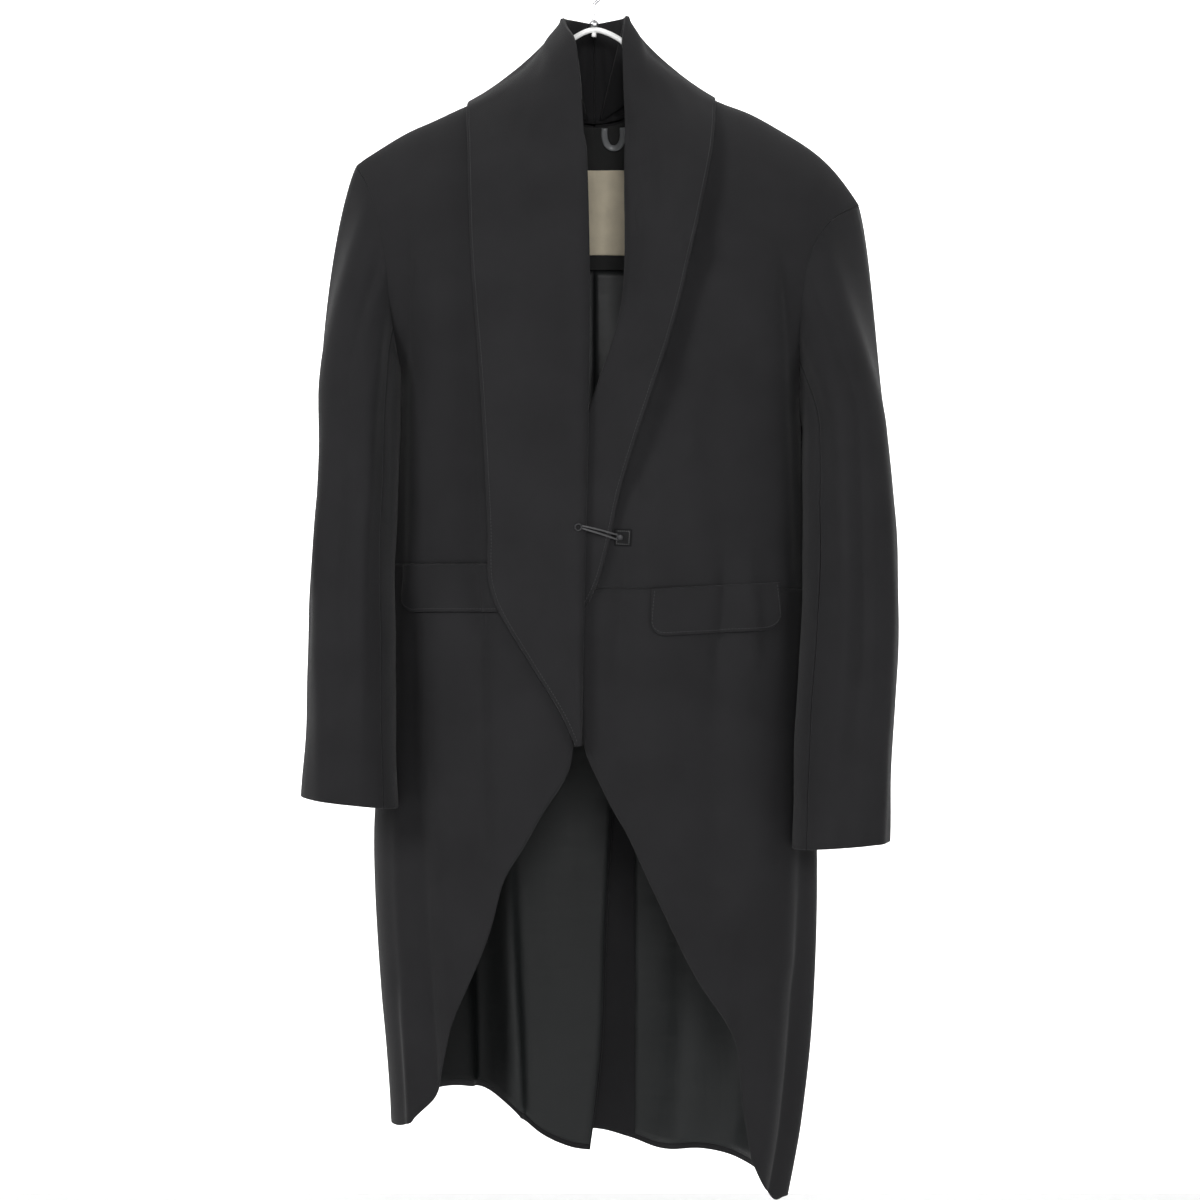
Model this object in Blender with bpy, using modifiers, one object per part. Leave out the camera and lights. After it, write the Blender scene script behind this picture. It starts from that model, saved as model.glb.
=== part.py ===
"""A long black cutaway jacket with a wide shawl collar, hung on a white hanger.

Lengths are in millimetres and are turned into metres when a mesh is made. X runs from the wearer's
right (-) to the wearer's left (+), the front faces -Y and Z is up. The origin is where the hook hangs,
inside the top of its curve, and "drop" is the distance below it.

The body is one form. Each level is a ring, and a place on the ring is its turn: 0 at the centre front,
0.5 at the side and 1 at the centre back. The cloth is the wall from the form outwards. A panel is a
stretch of the form between two edges, so neighbouring panels meet along the same line, a seam apart.
"""

import functools
import math

import bmesh
import bpy
from mathutils import Vector

MM = 0.001
RIGHT, LEFT = -1, 1  # the wearer's sides, and the sign of X on each
SIDE_NAME = {RIGHT: "right", LEFT: "left"}

# Cloth
CLOTH = 1.8  # wool with its canvas
COLLAR_CLOTH = 2.0
LINING_CLOTH = 1.0
LABEL_CLOTH = 0.6
SEAM = 0.3  # the gap between two pieces that are sewn together
LAID = 0.4  # the gap under a piece that lies on another
FLAP_LIFT = 0.95  # and under a pocket flap, which stands off a little
FACING_LIFT = 2.4  # from the back to the facing inside it
COLLAR_CLEAR = 0.7  # outside the seam that joins the collar on
COLLAR_INSIDE = 1.6  # and beside it
ARMHOLE_CLEAR = 1.0

# Heights of the main lines, as drops below the hook
NECK_SIDE = 123.0  # where the neck meets the shoulder seam
NECK_HALF = 62.0
NECK_BACK_DEEP = 34.0  # how far the neckline dips at the centre back
SHOULDER_FALL = 185.0  # how far below the shoulder ridge the form reaches its full depth
WAIST = {RIGHT: 591.0, LEFT: 615.0}
SLEEVE_TIP = {RIGHT: 206.0, LEFT: 244.0}
ARMPIT = {RIGHT: 412.0, LEFT: 440.0}
SLEEVE_CROWN = {RIGHT: 434.0, LEFT: 462.0}  # below this the sleeve is a plain tube
CUFF_OUTER = {RIGHT: 811.0, LEFT: 853.0}
CUFF_INNER = {RIGHT: 822.0, LEFT: 860.0}
FACING_END = 296.0
LEVEL_OF_HEM = 1150.0
VENT_TOP = 640.0
LEVEL_OF_TIPS = 230.0  # about where both shoulders end

ROUNDNESS = 2.3  # exponent of the rings, 2 for an ellipse and more for a boxier one
SHOULDER_ROUNDNESS = 1.6
SLEEVE_ROUNDNESS = 2.2

WRAP = 7.0  # how far the right front stands out where it covers the left one
VENT_WRAP = 4.5  # and the left back where it covers the right one's underlap


class Table:
    """Sizes at a few levels, in named columns. Between the rows a column follows a smooth curve."""

    def __init__(self, names, *rows):
        self.columns = dict(zip(names.split(), zip(*rows)))
        self.keys = [row[0] for row in rows]

    def at(self, name, key):
        keys, values = self.keys, self.columns[name]
        if key <= keys[0]:
            return values[0]
        if key >= keys[-1]:
            return values[-1]
        k = max(i for i in range(len(keys)) if keys[i] <= key)
        step = keys[k + 1] - keys[k]
        f = (key - keys[k]) / step
        start, end = (self._slope(values, i) * step for i in (k, k + 1))
        rise = values[k + 1] - values[k]
        return values[k] + f * (start + f * (3 * rise - 2 * start - end + f * (start + end - 2 * rise)))

    def _slope(self, values, i):
        before, after = max(i - 1, 0), min(i + 1, len(values) - 1)
        return (values[after] - values[before]) / (self.keys[after] - self.keys[before])


# The form's rings: half-widths to the wearer's right and left, and depths to the front and back.
RINGS = Table(
    "drop  right  left  front  back",
    (110, 246, 284, 94, 88),
    (200, 246, 283, 96, 92),
    (250, 243, 277, 97, 94),
    (300, 233, 262, 98, 96),
    (340, 217, 243, 98, 97),
    (380, 200, 222, 98, 97),
    (412, 186.5, 207, 98, 97),
    (440, 186.5, 200.5, 98, 97),
    (470, 187.5, 200.5, 98, 96),
    (520, 191.2, 203.3, 97, 95),
    (600, 196, 204, 96, 93),
    (660, 197, 205.5, 97, 95),
    (720, 199, 207.5, 98, 98),
    (780, 203.5, 209, 99, 100),
    (830, 210.5, 213, 100, 102),
    (900, 210, 213, 101, 104),
    (1000, 204, 209, 102, 106),
    (1060, 199, 205, 102, 107),
    (1130, 195, 197, 101, 108),
    (1170, 196, 190, 100, 108),
    (1205, 196, 183, 98, 108),
)

# The shoulder line, from the neck to past the sleeve's head.
RIDGE = Table(
    "x  right  left",
    (0, 98, 98),
    (62, 123, 119),
    (125, 149, 146),
    (151, 161, 156),
    (180, 174, 172),
    (210, 192, 191),
    (230, 206, 209),
    (250, 228, 235),
    (270, 258, 268),
    (300, 320, 330),
)

# The armhole, seen from the front: how far out it is, on its way down from the shoulder to the armpit.
ARMHOLE = Table(
    "way  right  left",
    (0.00, 230, 256),
    (0.07, 221, 232),
    (0.15, 214, 218),
    (0.28, 206, 207),
    (0.45, 200, 202),
    (0.65, 195, 199),
    (0.85, 189, 199),
    (1.00, 186.5, 200.5),
)

# The inner edges of the front panels, as distances to their own side of the hook's line.
# Down to the collar's end this is where the collar is sewn on, and below it the cut-away edge.
FRONT_EDGE = {
    RIGHT: Table(
        "drop  x",
        (123, 62),
        (150, 60),
        (185, 50),
        (240, 32),
        (300, 19),
        (350, 15.5),
        (420, 16),
        (520, 18),
        (600, 19.5),
        (700, 20),
        (766, 19.5),
        (786, 23),
        (803, 32),
        (822, 45.6),
        (864, 69),
        (888, 84),
        (935, 97.4),
        (1002, 121),
        (1070, 143.5),
        (1092, 152),
        (1110, 163),
        (1122, 172),
    ),
    LEFT: Table(
        "drop  x",
        (119, 62),
        (150, 60),
        (185, 55),
        (240, 47),
        (300, 42),
        (345, 39),
        (395, 25),
        (447, 7),
        (490, -6),
        (540, -12),
        (616, -13),
        (700, -13),
        (761, -10),
        (780, -3.5),
        (799, 6),
        (824, 18),
        (841, 29),
        (892, 52.6),
        (954, 81),
        (988, 100),
        (1027, 127),
        (1050, 139),
        (1100, 143),
        (1153, 148),
    ),
}

# The hems, from the centre out to the side: the front skirts' and the back panels'.
SKIRT_HEM = {
    RIGHT: Table("x  drop", (172, 1122), (183, 1128), (198, 1131)),
    LEFT: Table("x  drop", (148, 1153), (163, 1178), (176, 1195), (183, 1200), (190, 1198)),
}
BACK_HEM = {
    RIGHT: Table(
        "x  drop",
        (-4, 1179),
        (24, 1175),
        (54, 1161),
        (84, 1134),
        (114, 1114),
        (157, 1111),
        (197, 1131),
    ),
    LEFT: Table(
        "x  drop",
        (-28, 1157),
        (6, 1158),
        (36, 1166),
        (66, 1175),
        (110, 1174),
        (155, 1184),
        (190, 1198),
    ),
}

# The vent's edges below VENT_TOP, as distances past the centre line to the other side.
VENT_EDGE = {
    RIGHT: Table("drop  x", (640, 24), (834, 19), (956, 13), (1066, 9), (1126, 3), (1177, -4)),
    LEFT: Table("drop  x", (640, 26), (1200, 28)),
}
VENT_FACING = 41.0  # where the left lining starts, beside the vent
VENT_FACING_WIDE = 2.0  # how far the right lining stops from the vent's edge
LINING_SHORT = 12.0  # how far the lining ends above the hem
LINING_LIFT = 0.6
LINING_GAP = 0.5  # between the facing's end and the lining's top

# Folds that run down to the hem: place on the ring, width there, where they start and depth at the
# hem, positive outwards.
FOLDS = (
    # side, turn, width, start, depth
    (RIGHT, 0.880, 0.045, 780, -14),
    (RIGHT, 0.790, 0.045, 780, 8),
    (RIGHT, 0.640, 0.060, 700, 6),
    (RIGHT, 0.300, 0.040, 660, -5),
    (LEFT, 0.860, 0.040, 800, -9),
    (LEFT, 0.780, 0.040, 820, 8),
    (LEFT, 0.650, 0.050, 720, -6),
    (LEFT, 0.320, 0.040, 700, -6),
    (LEFT, 0.220, 0.045, 680, 5),
)
FOLD_GROWTH = 420.0  # over this length a fold comes to its full depth

# Sleeve rings: centre and half-widths.
SLEEVE = {
    RIGHT: Table(
        "drop  x  y  across  deep",
        (434, 226.4, -20, 37.3, 74),
        (510, 227, -36, 36.6, 69),
        (590, 231.2, -46, 37.8, 62),
        (665, 231.1, -59, 38.9, 55),
        (742, 231, -70, 39.9, 49),
        (822, 231.5, -79, 43.7, 45),
    ),
    LEFT: Table(
        "drop  x  y  across  deep",
        (462, 241.6, -22, 37.5, 74),
        (520, 243.8, -36, 40.7, 69),
        (600, 245.6, -46, 42.7, 62),
        (675, 243, -60, 44.2, 56),
        (755, 237.2, -71, 43.9, 50),
        (860, 233.5, -81, 43.7, 46),
    ),
}
# The two seams of a two-piece sleeve, as turns round its ring: 0 outer, 0.25 front, 0.5 inner.
FRONT_SLEEVE_SEAM = 0.385
BACK_SLEEVE_SEAM = 0.86
# How a sleeve leaves the armhole: outwards, forwards and down, before it turns into the tube.
HEAD = Table(
    "turn  right  left  forward  down",
    (0.00, 56, 34, 0, 118),
    (0.25, 46, 46, 38, 105),
    (0.50, 2, 2, 0, 22),
    (0.75, 46, 46, -38, 105),
    (1.00, 56, 34, 0, 118),
)

# The collar, station by station from the centre back round the neck and down the front. "seam" is
# where it is sewn on: -1 at the centre back, 0 at the shoulder, then mm down the front edge. "roll" is
# the line it folds over on and "edge" its free edge.
COLLAR = {
    RIGHT: Table(
        "station  seam  roll_x  roll_y  roll_drop  edge_x  edge_y  edge_drop",
        (0, -1.00, 0, 47, 61, 0, 74, 176),
        (1, -0.70, 15, 43, 58.5, 50, 66, 171),
        (2, -0.40, 25, 31, 58.5, 84, 48, 161),
        (3, -0.18, 29.5, 16, 60.5, 106, 29, 151),
        (4, 0.00, 30, 1, 64, 119.5, 2, 143),
        (5, 14.00, 27, -20, 75, 121, -28, 163),
        (6, 36.00, 20, -42, 90, 119, -48, 195),
        (7, 66.00, 14.5, -60, 122, 117.5, -66, 236),
        (8, 112.00, 10, -76, 172, 115.5, -80, 290),
        (9, 177.00, 7, -88, 245, 112, -90, 345),
        (10, 257.00, 5.5, -98, 340, 107, -92, 410),
        (11, 337.00, 6.5, -98, 430, 102.5, -90, 488),
        (12, 407.00, 8, -98, 515, 99, -90, 560),
        (13, 477.00, 10, -98, 600, 96.5, -88, 620),
        (14, 547.00, 11.5, -98, 672, 62, -92, 681),
        (15, 602.00, 12.5, -98, 727, 32, -96, 730),
        (16, 640.00, 13, -98, 762, 17, -96, 763),
    ),
    LEFT: Table(
        "station  seam  roll_x  roll_y  roll_drop  edge_x  edge_y  edge_drop",
        (0, -1.00, 0, 47, 61, 0, 74, 176),
        (1, -0.70, 15, 43, 58.5, 48, 66, 170),
        (2, -0.40, 26, 31, 58, 80, 48, 159),
        (3, -0.18, 31, 16, 59, 101, 29, 148.5),
        (4, 0.00, 32, 1, 61.5, 115, 2, 139),
        (5, 14.00, 30, -17, 74, 115, -27, 160),
        (6, 36.00, 27.5, -33, 92, 112, -46, 192),
        (7, 66.00, 28, -46, 124, 107, -62, 222),
        (8, 106.00, 29.5, -58, 170, 99, -74, 262),
        (9, 156.00, 30.3, -70, 232, 90, -84, 306),
        (10, 216.00, 31, -84, 296, 80, -90, 348),
        (11, 271.00, 27.5, -92, 350, 68, -92, 390),
        (12, 321.00, 14, -94, 398, 54.5, -94, 431),
        (13, 376.00, -4, -94, 449, 39, -94, 478),
        (14, 421.00, -16.5, -94, 495, 25, -94, 524),
        (15, 471.00, -22, -94, 548, 14.5, -94, 572),
        (16, 516.00, -20, -94, 598, 4, -94, 610),
        (17, 548.00, -15, -94, 634, -9, -94, 636),
    ),
}
COLLAR_LIES = {RIGHT: 6.2, LEFT: 3.4}  # from the form out to the underside of the fall
# How far the fall curves out between its roll and its edge: the collar is waisted beside the neck.
COLLAR_SAG = Table("station  out", (0, 2), (2, -5), (3, -11), (4, -14.5), (5, -11), (7, -3), (10, 0))
ROLL_OUT = {RIGHT: 3.3, LEFT: 2.6}  # the roll's place between the panel and the fall
FALL_ACROSS = (0.06, 0.20, 0.36, 0.54, 0.72, 0.87, 1.0)
FALL_CLEAR = 4.6  # between the undersides of the stand and the fall, round the neck
LEG_ACROSS = (0.0, 0.33, 0.67)
COLLAR_FINE = 7  # up to this station, round the neck, it has rows at half stations too

# Pocket flaps: the inner and outer ends as distances from the centre, and their heights.
FLAP_HIGH = 45.0
FLAP_CORNER = 13.0
FLAPS = {
    # side: inner x, outer x, top at the inner end, top at the outer end
    RIGHT: (62.0, 182.0, 592.0, 592.0),
    LEFT: (53.0, 173.0, 615.0, 609.0),
}

LABEL = (-23.0, 39.0, 198.0, 281.0)  # from x to x, from drop to drop
FACING_HALF = 60.0

CUFF_BUTTONS = 4
BUTTON_RADIUS = 6.5
BUTTON_THICK = 2.6
BUTTON_LIFT = 0.85  # the length of its thread
BUTTON_PITCH = 14.0
BUTTON_FROM_HEM = 22.0
BUTTON_TURN = 0.925

LOOP_RADIUS = 1.3
# The hanging loop's way from the neck seam down and up again, as x and drop.
LOOP_ROUTE = (
    (11, 158.5),
    (11, 166),
    (12.5, 172),
    (16, 176),
    (20, 177),
    (24, 176),
    (27.5, 172),
    (29, 166),
    (29, 158),
)
WIRE_RADIUS = 1.6
HOOK_RADIUS = 20.0  # inside the hook's curve
NUT_TOP = 64.5
STEM = ((0, NUT_TOP - SEAM), (0, 54.0), (0.8, 47.0))  # from the nut up to the hook's curve
NUT_HIGH = 5.0
ROD_RADIUS = 2.6
ROD_CLEAR = 1.2  # from the rod to the cloth that hangs on it
ROD_START = 72.0
ROD_END = {RIGHT: 216.0, LEFT: 240.0}
ARCH_TOP = 72.6  # the hanger's rod where it passes under the nut
# The arch on each side of it: how far out and how far down, to where the straight arms start.
ARCH = {
    RIGHT: ((16, 78.5), (30, 89), (41, 103.5), (49, 117), (56, 126.5)),
    LEFT: ((17, 77.5), (31, 87), (42, 102), (49, 115), (56, 124)),
}
HOOK_TURNS = (-62, 202, 12)  # degrees round the hook's curve: from, to and step
NUT_RADIUS = 4.3
BOLT_RADIUS = 2.2
BOLT_HIGH = 4.0


# ---- the form -------------------------------------------------------------------------------------


def rounded(value, exponent):
    """A sine or cosine on a ring of the given roundness."""
    return math.copysign(abs(value) ** (2.0 / exponent), value)


def smooth(start, end, value):
    """0 before start, 1 after end, and a soft step between them."""
    f = min(max((value - start) / (end - start), 0.0), 1.0)
    return f * f * (3.0 - 2.0 * f)


@functools.lru_cache(maxsize=None)
def ridge_drop(side, turn):
    """The shoulder ridge's drop at a place on the rings."""
    across = abs(rounded(math.sin(math.pi * turn), ROUNDNESS))
    drop = SLEEVE_TIP[side]
    for _ in range(30):
        x = RINGS.at(SIDE_NAME[side], drop) * across
        drop += 0.6 * (RIDGE.at(SIDE_NAME[side], x) - drop)
    return drop


def shoulder(below):
    """The share of its depth that the form has at a distance below the ridge."""
    up = 1.0 - min(max(below / SHOULDER_FALL, 0.0), 1.0)
    return (1.0 - up**SHOULDER_ROUNDNESS) ** (1.0 / SHOULDER_ROUNDNESS)


def folds(side, turn, drop):
    """How far the folds move the form outwards."""
    total = 0.0
    for where, middle, width, start, depth in FOLDS:
        if where == side and drop > start:
            grown = smooth(0.0, FOLD_GROWTH, drop - start)
            total += depth * grown * math.exp(-(((turn - middle) / width) ** 2))
    return total


def form(side, turn, drop):
    """A point of the form. side is the panel's own side, which it keeps past the centre line."""
    sine, cosine = math.sin(math.pi * turn), math.cos(math.pi * turn)
    here = side if sine >= 0 else -side
    x = here * RINGS.at(SIDE_NAME[here], drop) * abs(rounded(sine, ROUNDNESS))
    front = cosine > 0
    deep = RINGS.at("front" if front else "back", drop)
    y = -deep * rounded(cosine, ROUNDNESS)
    y *= shoulder(drop - ridge_drop(here, round(abs(turn), 6)))
    out = folds(here, abs(turn) if turn < 1 else 2 - turn, drop)
    length = math.hypot(x, y)
    if out and length > 1.0:
        x += x / length * out
        y += y / length * out
    if front and side == RIGHT:
        near = 1.0 - smooth(45.0, 128.0, -x)
        y -= WRAP * near * smooth(200.0, 380.0, drop) * (1.0 - smooth(780.0, 960.0, drop))
    if not front and side == LEFT:
        y += VENT_WRAP * (1.0 - smooth(34.0, 70.0, x)) * smooth(VENT_TOP - 80.0, VENT_TOP, drop)
    y += -SEAM / 2 if turn <= 0.5 else SEAM / 2
    return Vector((x, y, -drop))


def form_normal(side, turn, drop):
    """The form's outward direction."""
    step, fall = 0.004, 2.0
    one_way = step if not (0.5 - step < turn < 0.5) else 0.0
    other_way = step if not (0.5 < turn < 0.5 + step) else 0.0
    round_it = form(side, turn + one_way, drop) - form(side, turn - other_way, drop)
    top = drop - fall
    down_it = form(side, turn, drop + fall) - form(side, turn, top)
    out = round_it.cross(down_it).normalized()
    flat = form(side, turn, drop)
    away = Vector((flat.x, flat.y, 60.0 if drop < ridge_drop(side, round(abs(turn), 6)) + 5 else 0.0))
    return out if out.dot(away) > 0 else -out


def turn_at(side, x, drop, front=True):
    """The place on the ring at a distance x to the side, on the front half or the back half."""
    wide = RINGS.at(SIDE_NAME[side if x >= 0 else -side], drop)
    share = min(abs(x) / wide, 1.0) ** (ROUNDNESS / 2.0)
    turn = math.copysign(math.asin(share) / math.pi, x)
    return turn if front else 1.0 - turn


def on_form(side, turn, drop, out=0.0):
    return form(side, turn, drop) + form_normal(side, turn, drop) * out


def at_front(side, x, drop, out=0.0):
    return on_form(side, turn_at(side, x, drop), drop, out)


def at_back(side, x, drop, out=0.0):
    return on_form(side, turn_at(side, x, drop, front=False), drop, out)


# ---- meshes ---------------------------------------------------------------------------------------

COLLECTION = "shawl_collar_jacket"


def material(name, colour, roughness, metallic=0.0):
    made = bpy.data.materials.new(name)
    made.use_nodes = True
    shader = made.node_tree.nodes["Principled BSDF"]
    shader.inputs["Base Color"].default_value = (*colour, 1.0)
    shader.inputs["Roughness"].default_value = roughness
    shader.inputs["Metallic"].default_value = metallic
    made.diffuse_color = (*colour, 1.0)
    return made


def add(name, data, finish, place=(0.0, 0.0, 0.0), rotation=None):
    """One object of the part, with its finish. place is in millimetres."""
    made = bpy.data.objects.new(name, data)
    data.materials.append(finish)
    made.location = Vector(place) * MM
    if rotation is not None:
        made.rotation_mode = "QUATERNION"
        made.rotation_quaternion = rotation
    bpy.data.collections[COLLECTION].objects.link(made)
    return made


def to_mesh(name, bm):
    mesh = bpy.data.meshes.new(name)
    bm.to_mesh(mesh)
    bm.free()
    return mesh


def wall(name, rows, normals, thickness, finish):
    """A closed wall of cloth: a grid of points, the same grid moved out, and the rim between them.

    The rims of two panels stand square to the seam they share, because the directions do too.
    """
    bm = bmesh.new()
    under = [[bm.verts.new(p * MM) for p in row] for row in rows]
    over = [
        [bm.verts.new((p + n * thickness) * MM) for p, n in zip(row, directions)]
        for row, directions in zip(rows, normals)
    ]
    last, end = len(rows) - 1, len(rows[0]) - 1
    for i in range(last):
        for j in range(end):
            bm.faces.new((under[i][j], under[i][j + 1], under[i + 1][j + 1], under[i + 1][j]))
            bm.faces.new((over[i][j], over[i + 1][j], over[i + 1][j + 1], over[i][j + 1]))
        for j in (0, end):
            bm.faces.new((under[i][j], over[i][j], over[i + 1][j], under[i + 1][j]))
    for i in (0, last):
        for j in range(end):
            bm.faces.new((under[i][j], under[i][j + 1], over[i][j + 1], over[i][j]))
    bmesh.ops.recalc_face_normals(bm, faces=bm.faces)
    if bm.calc_volume(signed=True) < 0:
        bmesh.ops.reverse_faces(bm, faces=bm.faces)
    made = add(name, to_mesh(name, bm), finish)
    made.data.shade_smooth()
    made.data.set_sharp_from_angle(angle=math.radians(50))
    return made


def grid_normals(rows):
    """Directions square to a grid of points, from each point's neighbours."""
    last, end = len(rows) - 1, len(rows[0]) - 1
    normals = []
    for i, row in enumerate(rows):
        normals.append([])
        for j in range(len(row)):
            along = rows[min(i + 1, last)][j] - rows[max(i - 1, 0)][j]
            across = row[min(j + 1, end)] - row[max(j - 1, 0)]
            normals[-1].append(along.cross(across).normalized())
    return normals


def spread(start, end, count):
    return [start + (end - start) * k / (count - 1) for k in range(count)]


# ---- body panels ----------------------------------------------------------------------------------


def crossing(side, edge_x, drop_at, front):
    """The turn where a row of a panel, whose drop is drop_at(turn), meets the panel's edge."""
    low, high = -60.0, 300.0
    for _ in range(40):
        x = (low + high) / 2
        drop = drop_at(turn_at(side, x, LEVEL_OF_TIPS, front))
        for _ in range(2):
            turn = turn_at(side, x, drop, front)
            drop = drop_at(turn)
        if x > edge_x(drop):
            high = x
        else:
            low = x
    return turn_at(side, (low + high) / 2, drop_at(turn), front)


def panel_points(side, front, top, bottom, inner, outer, rows, columns, out=0.0):
    """A grid of points and normals on the form.

    top and bottom give a drop for a turn. inner and outer give a distance to the side for a drop.
    rows and columns are shares of the way from top to bottom and from inner to outer.
    """
    points, normals = [], []
    for v in rows:

        def drop_at(turn, v=v):
            return top(turn) + (bottom(turn) - top(turn)) * v

        start = crossing(side, inner, drop_at, front)
        end = crossing(side, outer, drop_at, front)
        points.append([])
        normals.append([])
        for u in columns:
            turn = start + (end - start) * u
            normal = form_normal(side, turn, drop_at(turn))
            points[-1].append(form(side, turn, drop_at(turn)) + normal * out)
            normals[-1].append(normal)
    return points, normals


def armhole_x(side):
    """The outer edge of a body panel: the armhole, and below the armpit the side seam."""
    tip, pit = SLEEVE_TIP[side], ARMPIT[side]

    def edge(drop):
        if drop >= pit:
            return RINGS.at(SIDE_NAME[side], drop)
        return ARMHOLE.at(SIDE_NAME[side], (drop - tip) / (pit - tip))

    return edge


def neck_drop(x):
    """The back neckline, a quarter of an ellipse on each side."""
    return NECK_SIDE + NECK_BACK_DEEP * math.sqrt(max(1.0 - (x / NECK_HALF) ** 2, 0.0))


def back_inner_x(side):
    """The inner edge of a back panel: neckline, centre seam and vent."""

    def edge(drop):
        dip = (drop - NECK_SIDE) / NECK_BACK_DEEP
        if dip < 1.0:
            return NECK_HALF * math.sqrt(1.0 - max(dip, 0.0) ** 2)
        if drop < VENT_TOP:
            return SEAM / 2
        return -VENT_EDGE[side].at("x", drop)

    return edge


def hem_at(side, table):
    def hem(turn):
        return table[side].at("drop", side * form(side, turn, LEVEL_OF_HEM).x)

    return hem


def ridge_at(side):
    def ridge(turn):
        return ridge_drop(side, round(abs(turn), 6))

    return ridge


def level(drop):
    return lambda turn: drop


FRONT_ROWS = (0, 0.02, 0.06, 0.12, 0.2, 0.29, 0.39, 0.5, 0.62, 0.75, 0.88, 1.0)
FRONT_COLUMNS = (0, 0.13, 0.27, 0.41, 0.54, 0.66, 0.77, 0.87, 0.95, 1.0)
SKIRT_ROWS = (0, 0.09, 0.18, 0.27, 0.34, 0.43, 0.52, 0.62, 0.72, 0.82, 0.91, 1.0)
YOKE_ROWS = (0, 0.05, 0.12, 0.2, 0.29, 0.39, 0.5, 0.65, 0.82)  # from the shoulder to the facing's end
BACK_ROWS = (0, 0.1, 0.2, 0.3, 0.385, 0.405, 0.5, 0.58, 0.67, 0.76, 0.84, 0.92, 1.0)  # and to the hem
BACK_COLUMNS = (0, 0.09, 0.19, 0.3, 0.41, 0.52, 0.63, 0.74, 0.84, 0.93, 1.0)


@functools.lru_cache(maxsize=None)
def front_grid(side):
    inner = functools.partial(FRONT_EDGE[side].at, "x")
    waist = level(WAIST[side] - SEAM / 2)
    return panel_points(
        side, True, ridge_at(side), waist, inner, armhole_x(side), FRONT_ROWS, FRONT_COLUMNS
    )


@functools.lru_cache(maxsize=None)
def skirt_grid(side):
    inner = functools.partial(FRONT_EDGE[side].at, "x")
    waist, hem = level(WAIST[side] + SEAM / 2), hem_at(side, SKIRT_HEM)
    return panel_points(side, True, waist, hem, inner, armhole_x(side), SKIRT_ROWS, FRONT_COLUMNS)


@functools.lru_cache(maxsize=None)
def back_grid(side):
    """The back panel in two stretches that join where the lining starts."""
    edges = (back_inner_x(side), armhole_x(side))
    facing_end, hem = level(FACING_END), hem_at(side, BACK_HEM)
    yoke = panel_points(side, False, ridge_at(side), facing_end, *edges, YOKE_ROWS, BACK_COLUMNS)
    rest = panel_points(side, False, facing_end, hem, *edges, BACK_ROWS, BACK_COLUMNS)
    return yoke[0] + rest[0], yoke[1] + rest[1]


def build_body(wool):
    for side in (RIGHT, LEFT):
        name = SIDE_NAME[side]
        wall(f"front_{name}", *front_grid(side), CLOTH, wool)
        wall(f"skirt_{name}", *skirt_grid(side), CLOTH, wool)
        wall(f"back_{name}", *back_grid(side), CLOTH, wool)


def along(line, key, value):
    """The point and normal on an edge, given as (point, normal) pairs, where key reaches value."""
    for (a, a_out), (b, b_out) in zip(line, line[1:]):
        start, end = key(a), key(b)
        if start <= value <= end and end > start:
            share = (value - start) / (end - start)
            return a.lerp(b, share), a_out.lerp(b_out, share).normalized()
    return line[0] if value < key(line[0][0]) else line[-1]


def below_hook(point):
    return -point.z


@functools.lru_cache(maxsize=None)
def edge_line(side, piece, column):
    """The first or last column of a panel, from the top down."""
    grids = {"front": (front_grid, skirt_grid), "back": (back_grid,)}[piece]
    line = []
    for grid in grids:
        points, normals = grid(side)
        line += [(row[column], out[column]) for row, out in zip(points, normals)]
    return line


# ---- sleeves --------------------------------------------------------------------------------------


def armhole_point(side, turn):
    """The armhole at a turn of the sleeve: 0 at the shoulder, 0.25 in front, 0.5 at the armpit."""
    way = turn % 1.0
    line = edge_line(side, "front" if way <= 0.5 else "back", -1)
    way = min(way, 1.0 - way) * 2
    tip = -line[0][0].z
    return along(line, below_hook, tip + (ARMPIT[side] - tip) * way)


def sleeve_tube(side, turn, down):
    """The sleeve below its head. down is 0 at the crown level and 1 at the cuff."""
    angle = 2 * math.pi * turn
    inwards = (1.0 - math.cos(angle)) / 2
    cuff = CUFF_OUTER[side] + (CUFF_INNER[side] - CUFF_OUTER[side]) * inwards
    drop = SLEEVE_CROWN[side] + (cuff - SLEEVE_CROWN[side]) * down
    table = SLEEVE[side]
    x = table.at("x", drop) + table.at("across", drop) * rounded(math.cos(angle), SLEEVE_ROUNDNESS)
    y = table.at("y", drop) - table.at("deep", drop) * rounded(math.sin(angle), SLEEVE_ROUNDNESS)
    return Vector((side * x, y, -drop))


def sleeve_start(side, turn):
    """Where the sleeve's inside starts: just off the armhole's edge, clear of the panel's wall."""
    point, normal = armhole_point(side, turn)
    angle = 2 * math.pi * turn
    faces = Vector((side * math.cos(angle), -math.sin(angle), 0.0))
    turned = 1.0 - max(min(normal.dot(faces), 1.0), -1.0)
    step = armhole_point(side, turn + 0.01)[0] - armhole_point(side, turn - 0.01)[0]
    away = step.cross(normal).normalized()
    if away.dot(Vector((side, 0.0, -0.5))) < 0:
        away = -away
    beside = ARMHOLE_CLEAR * max(1.0 - turned, 0.0)
    return point + away * beside + normal * (CLOTH * turned + ARMHOLE_CLEAR * min(turned * 4, 1.0))


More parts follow.
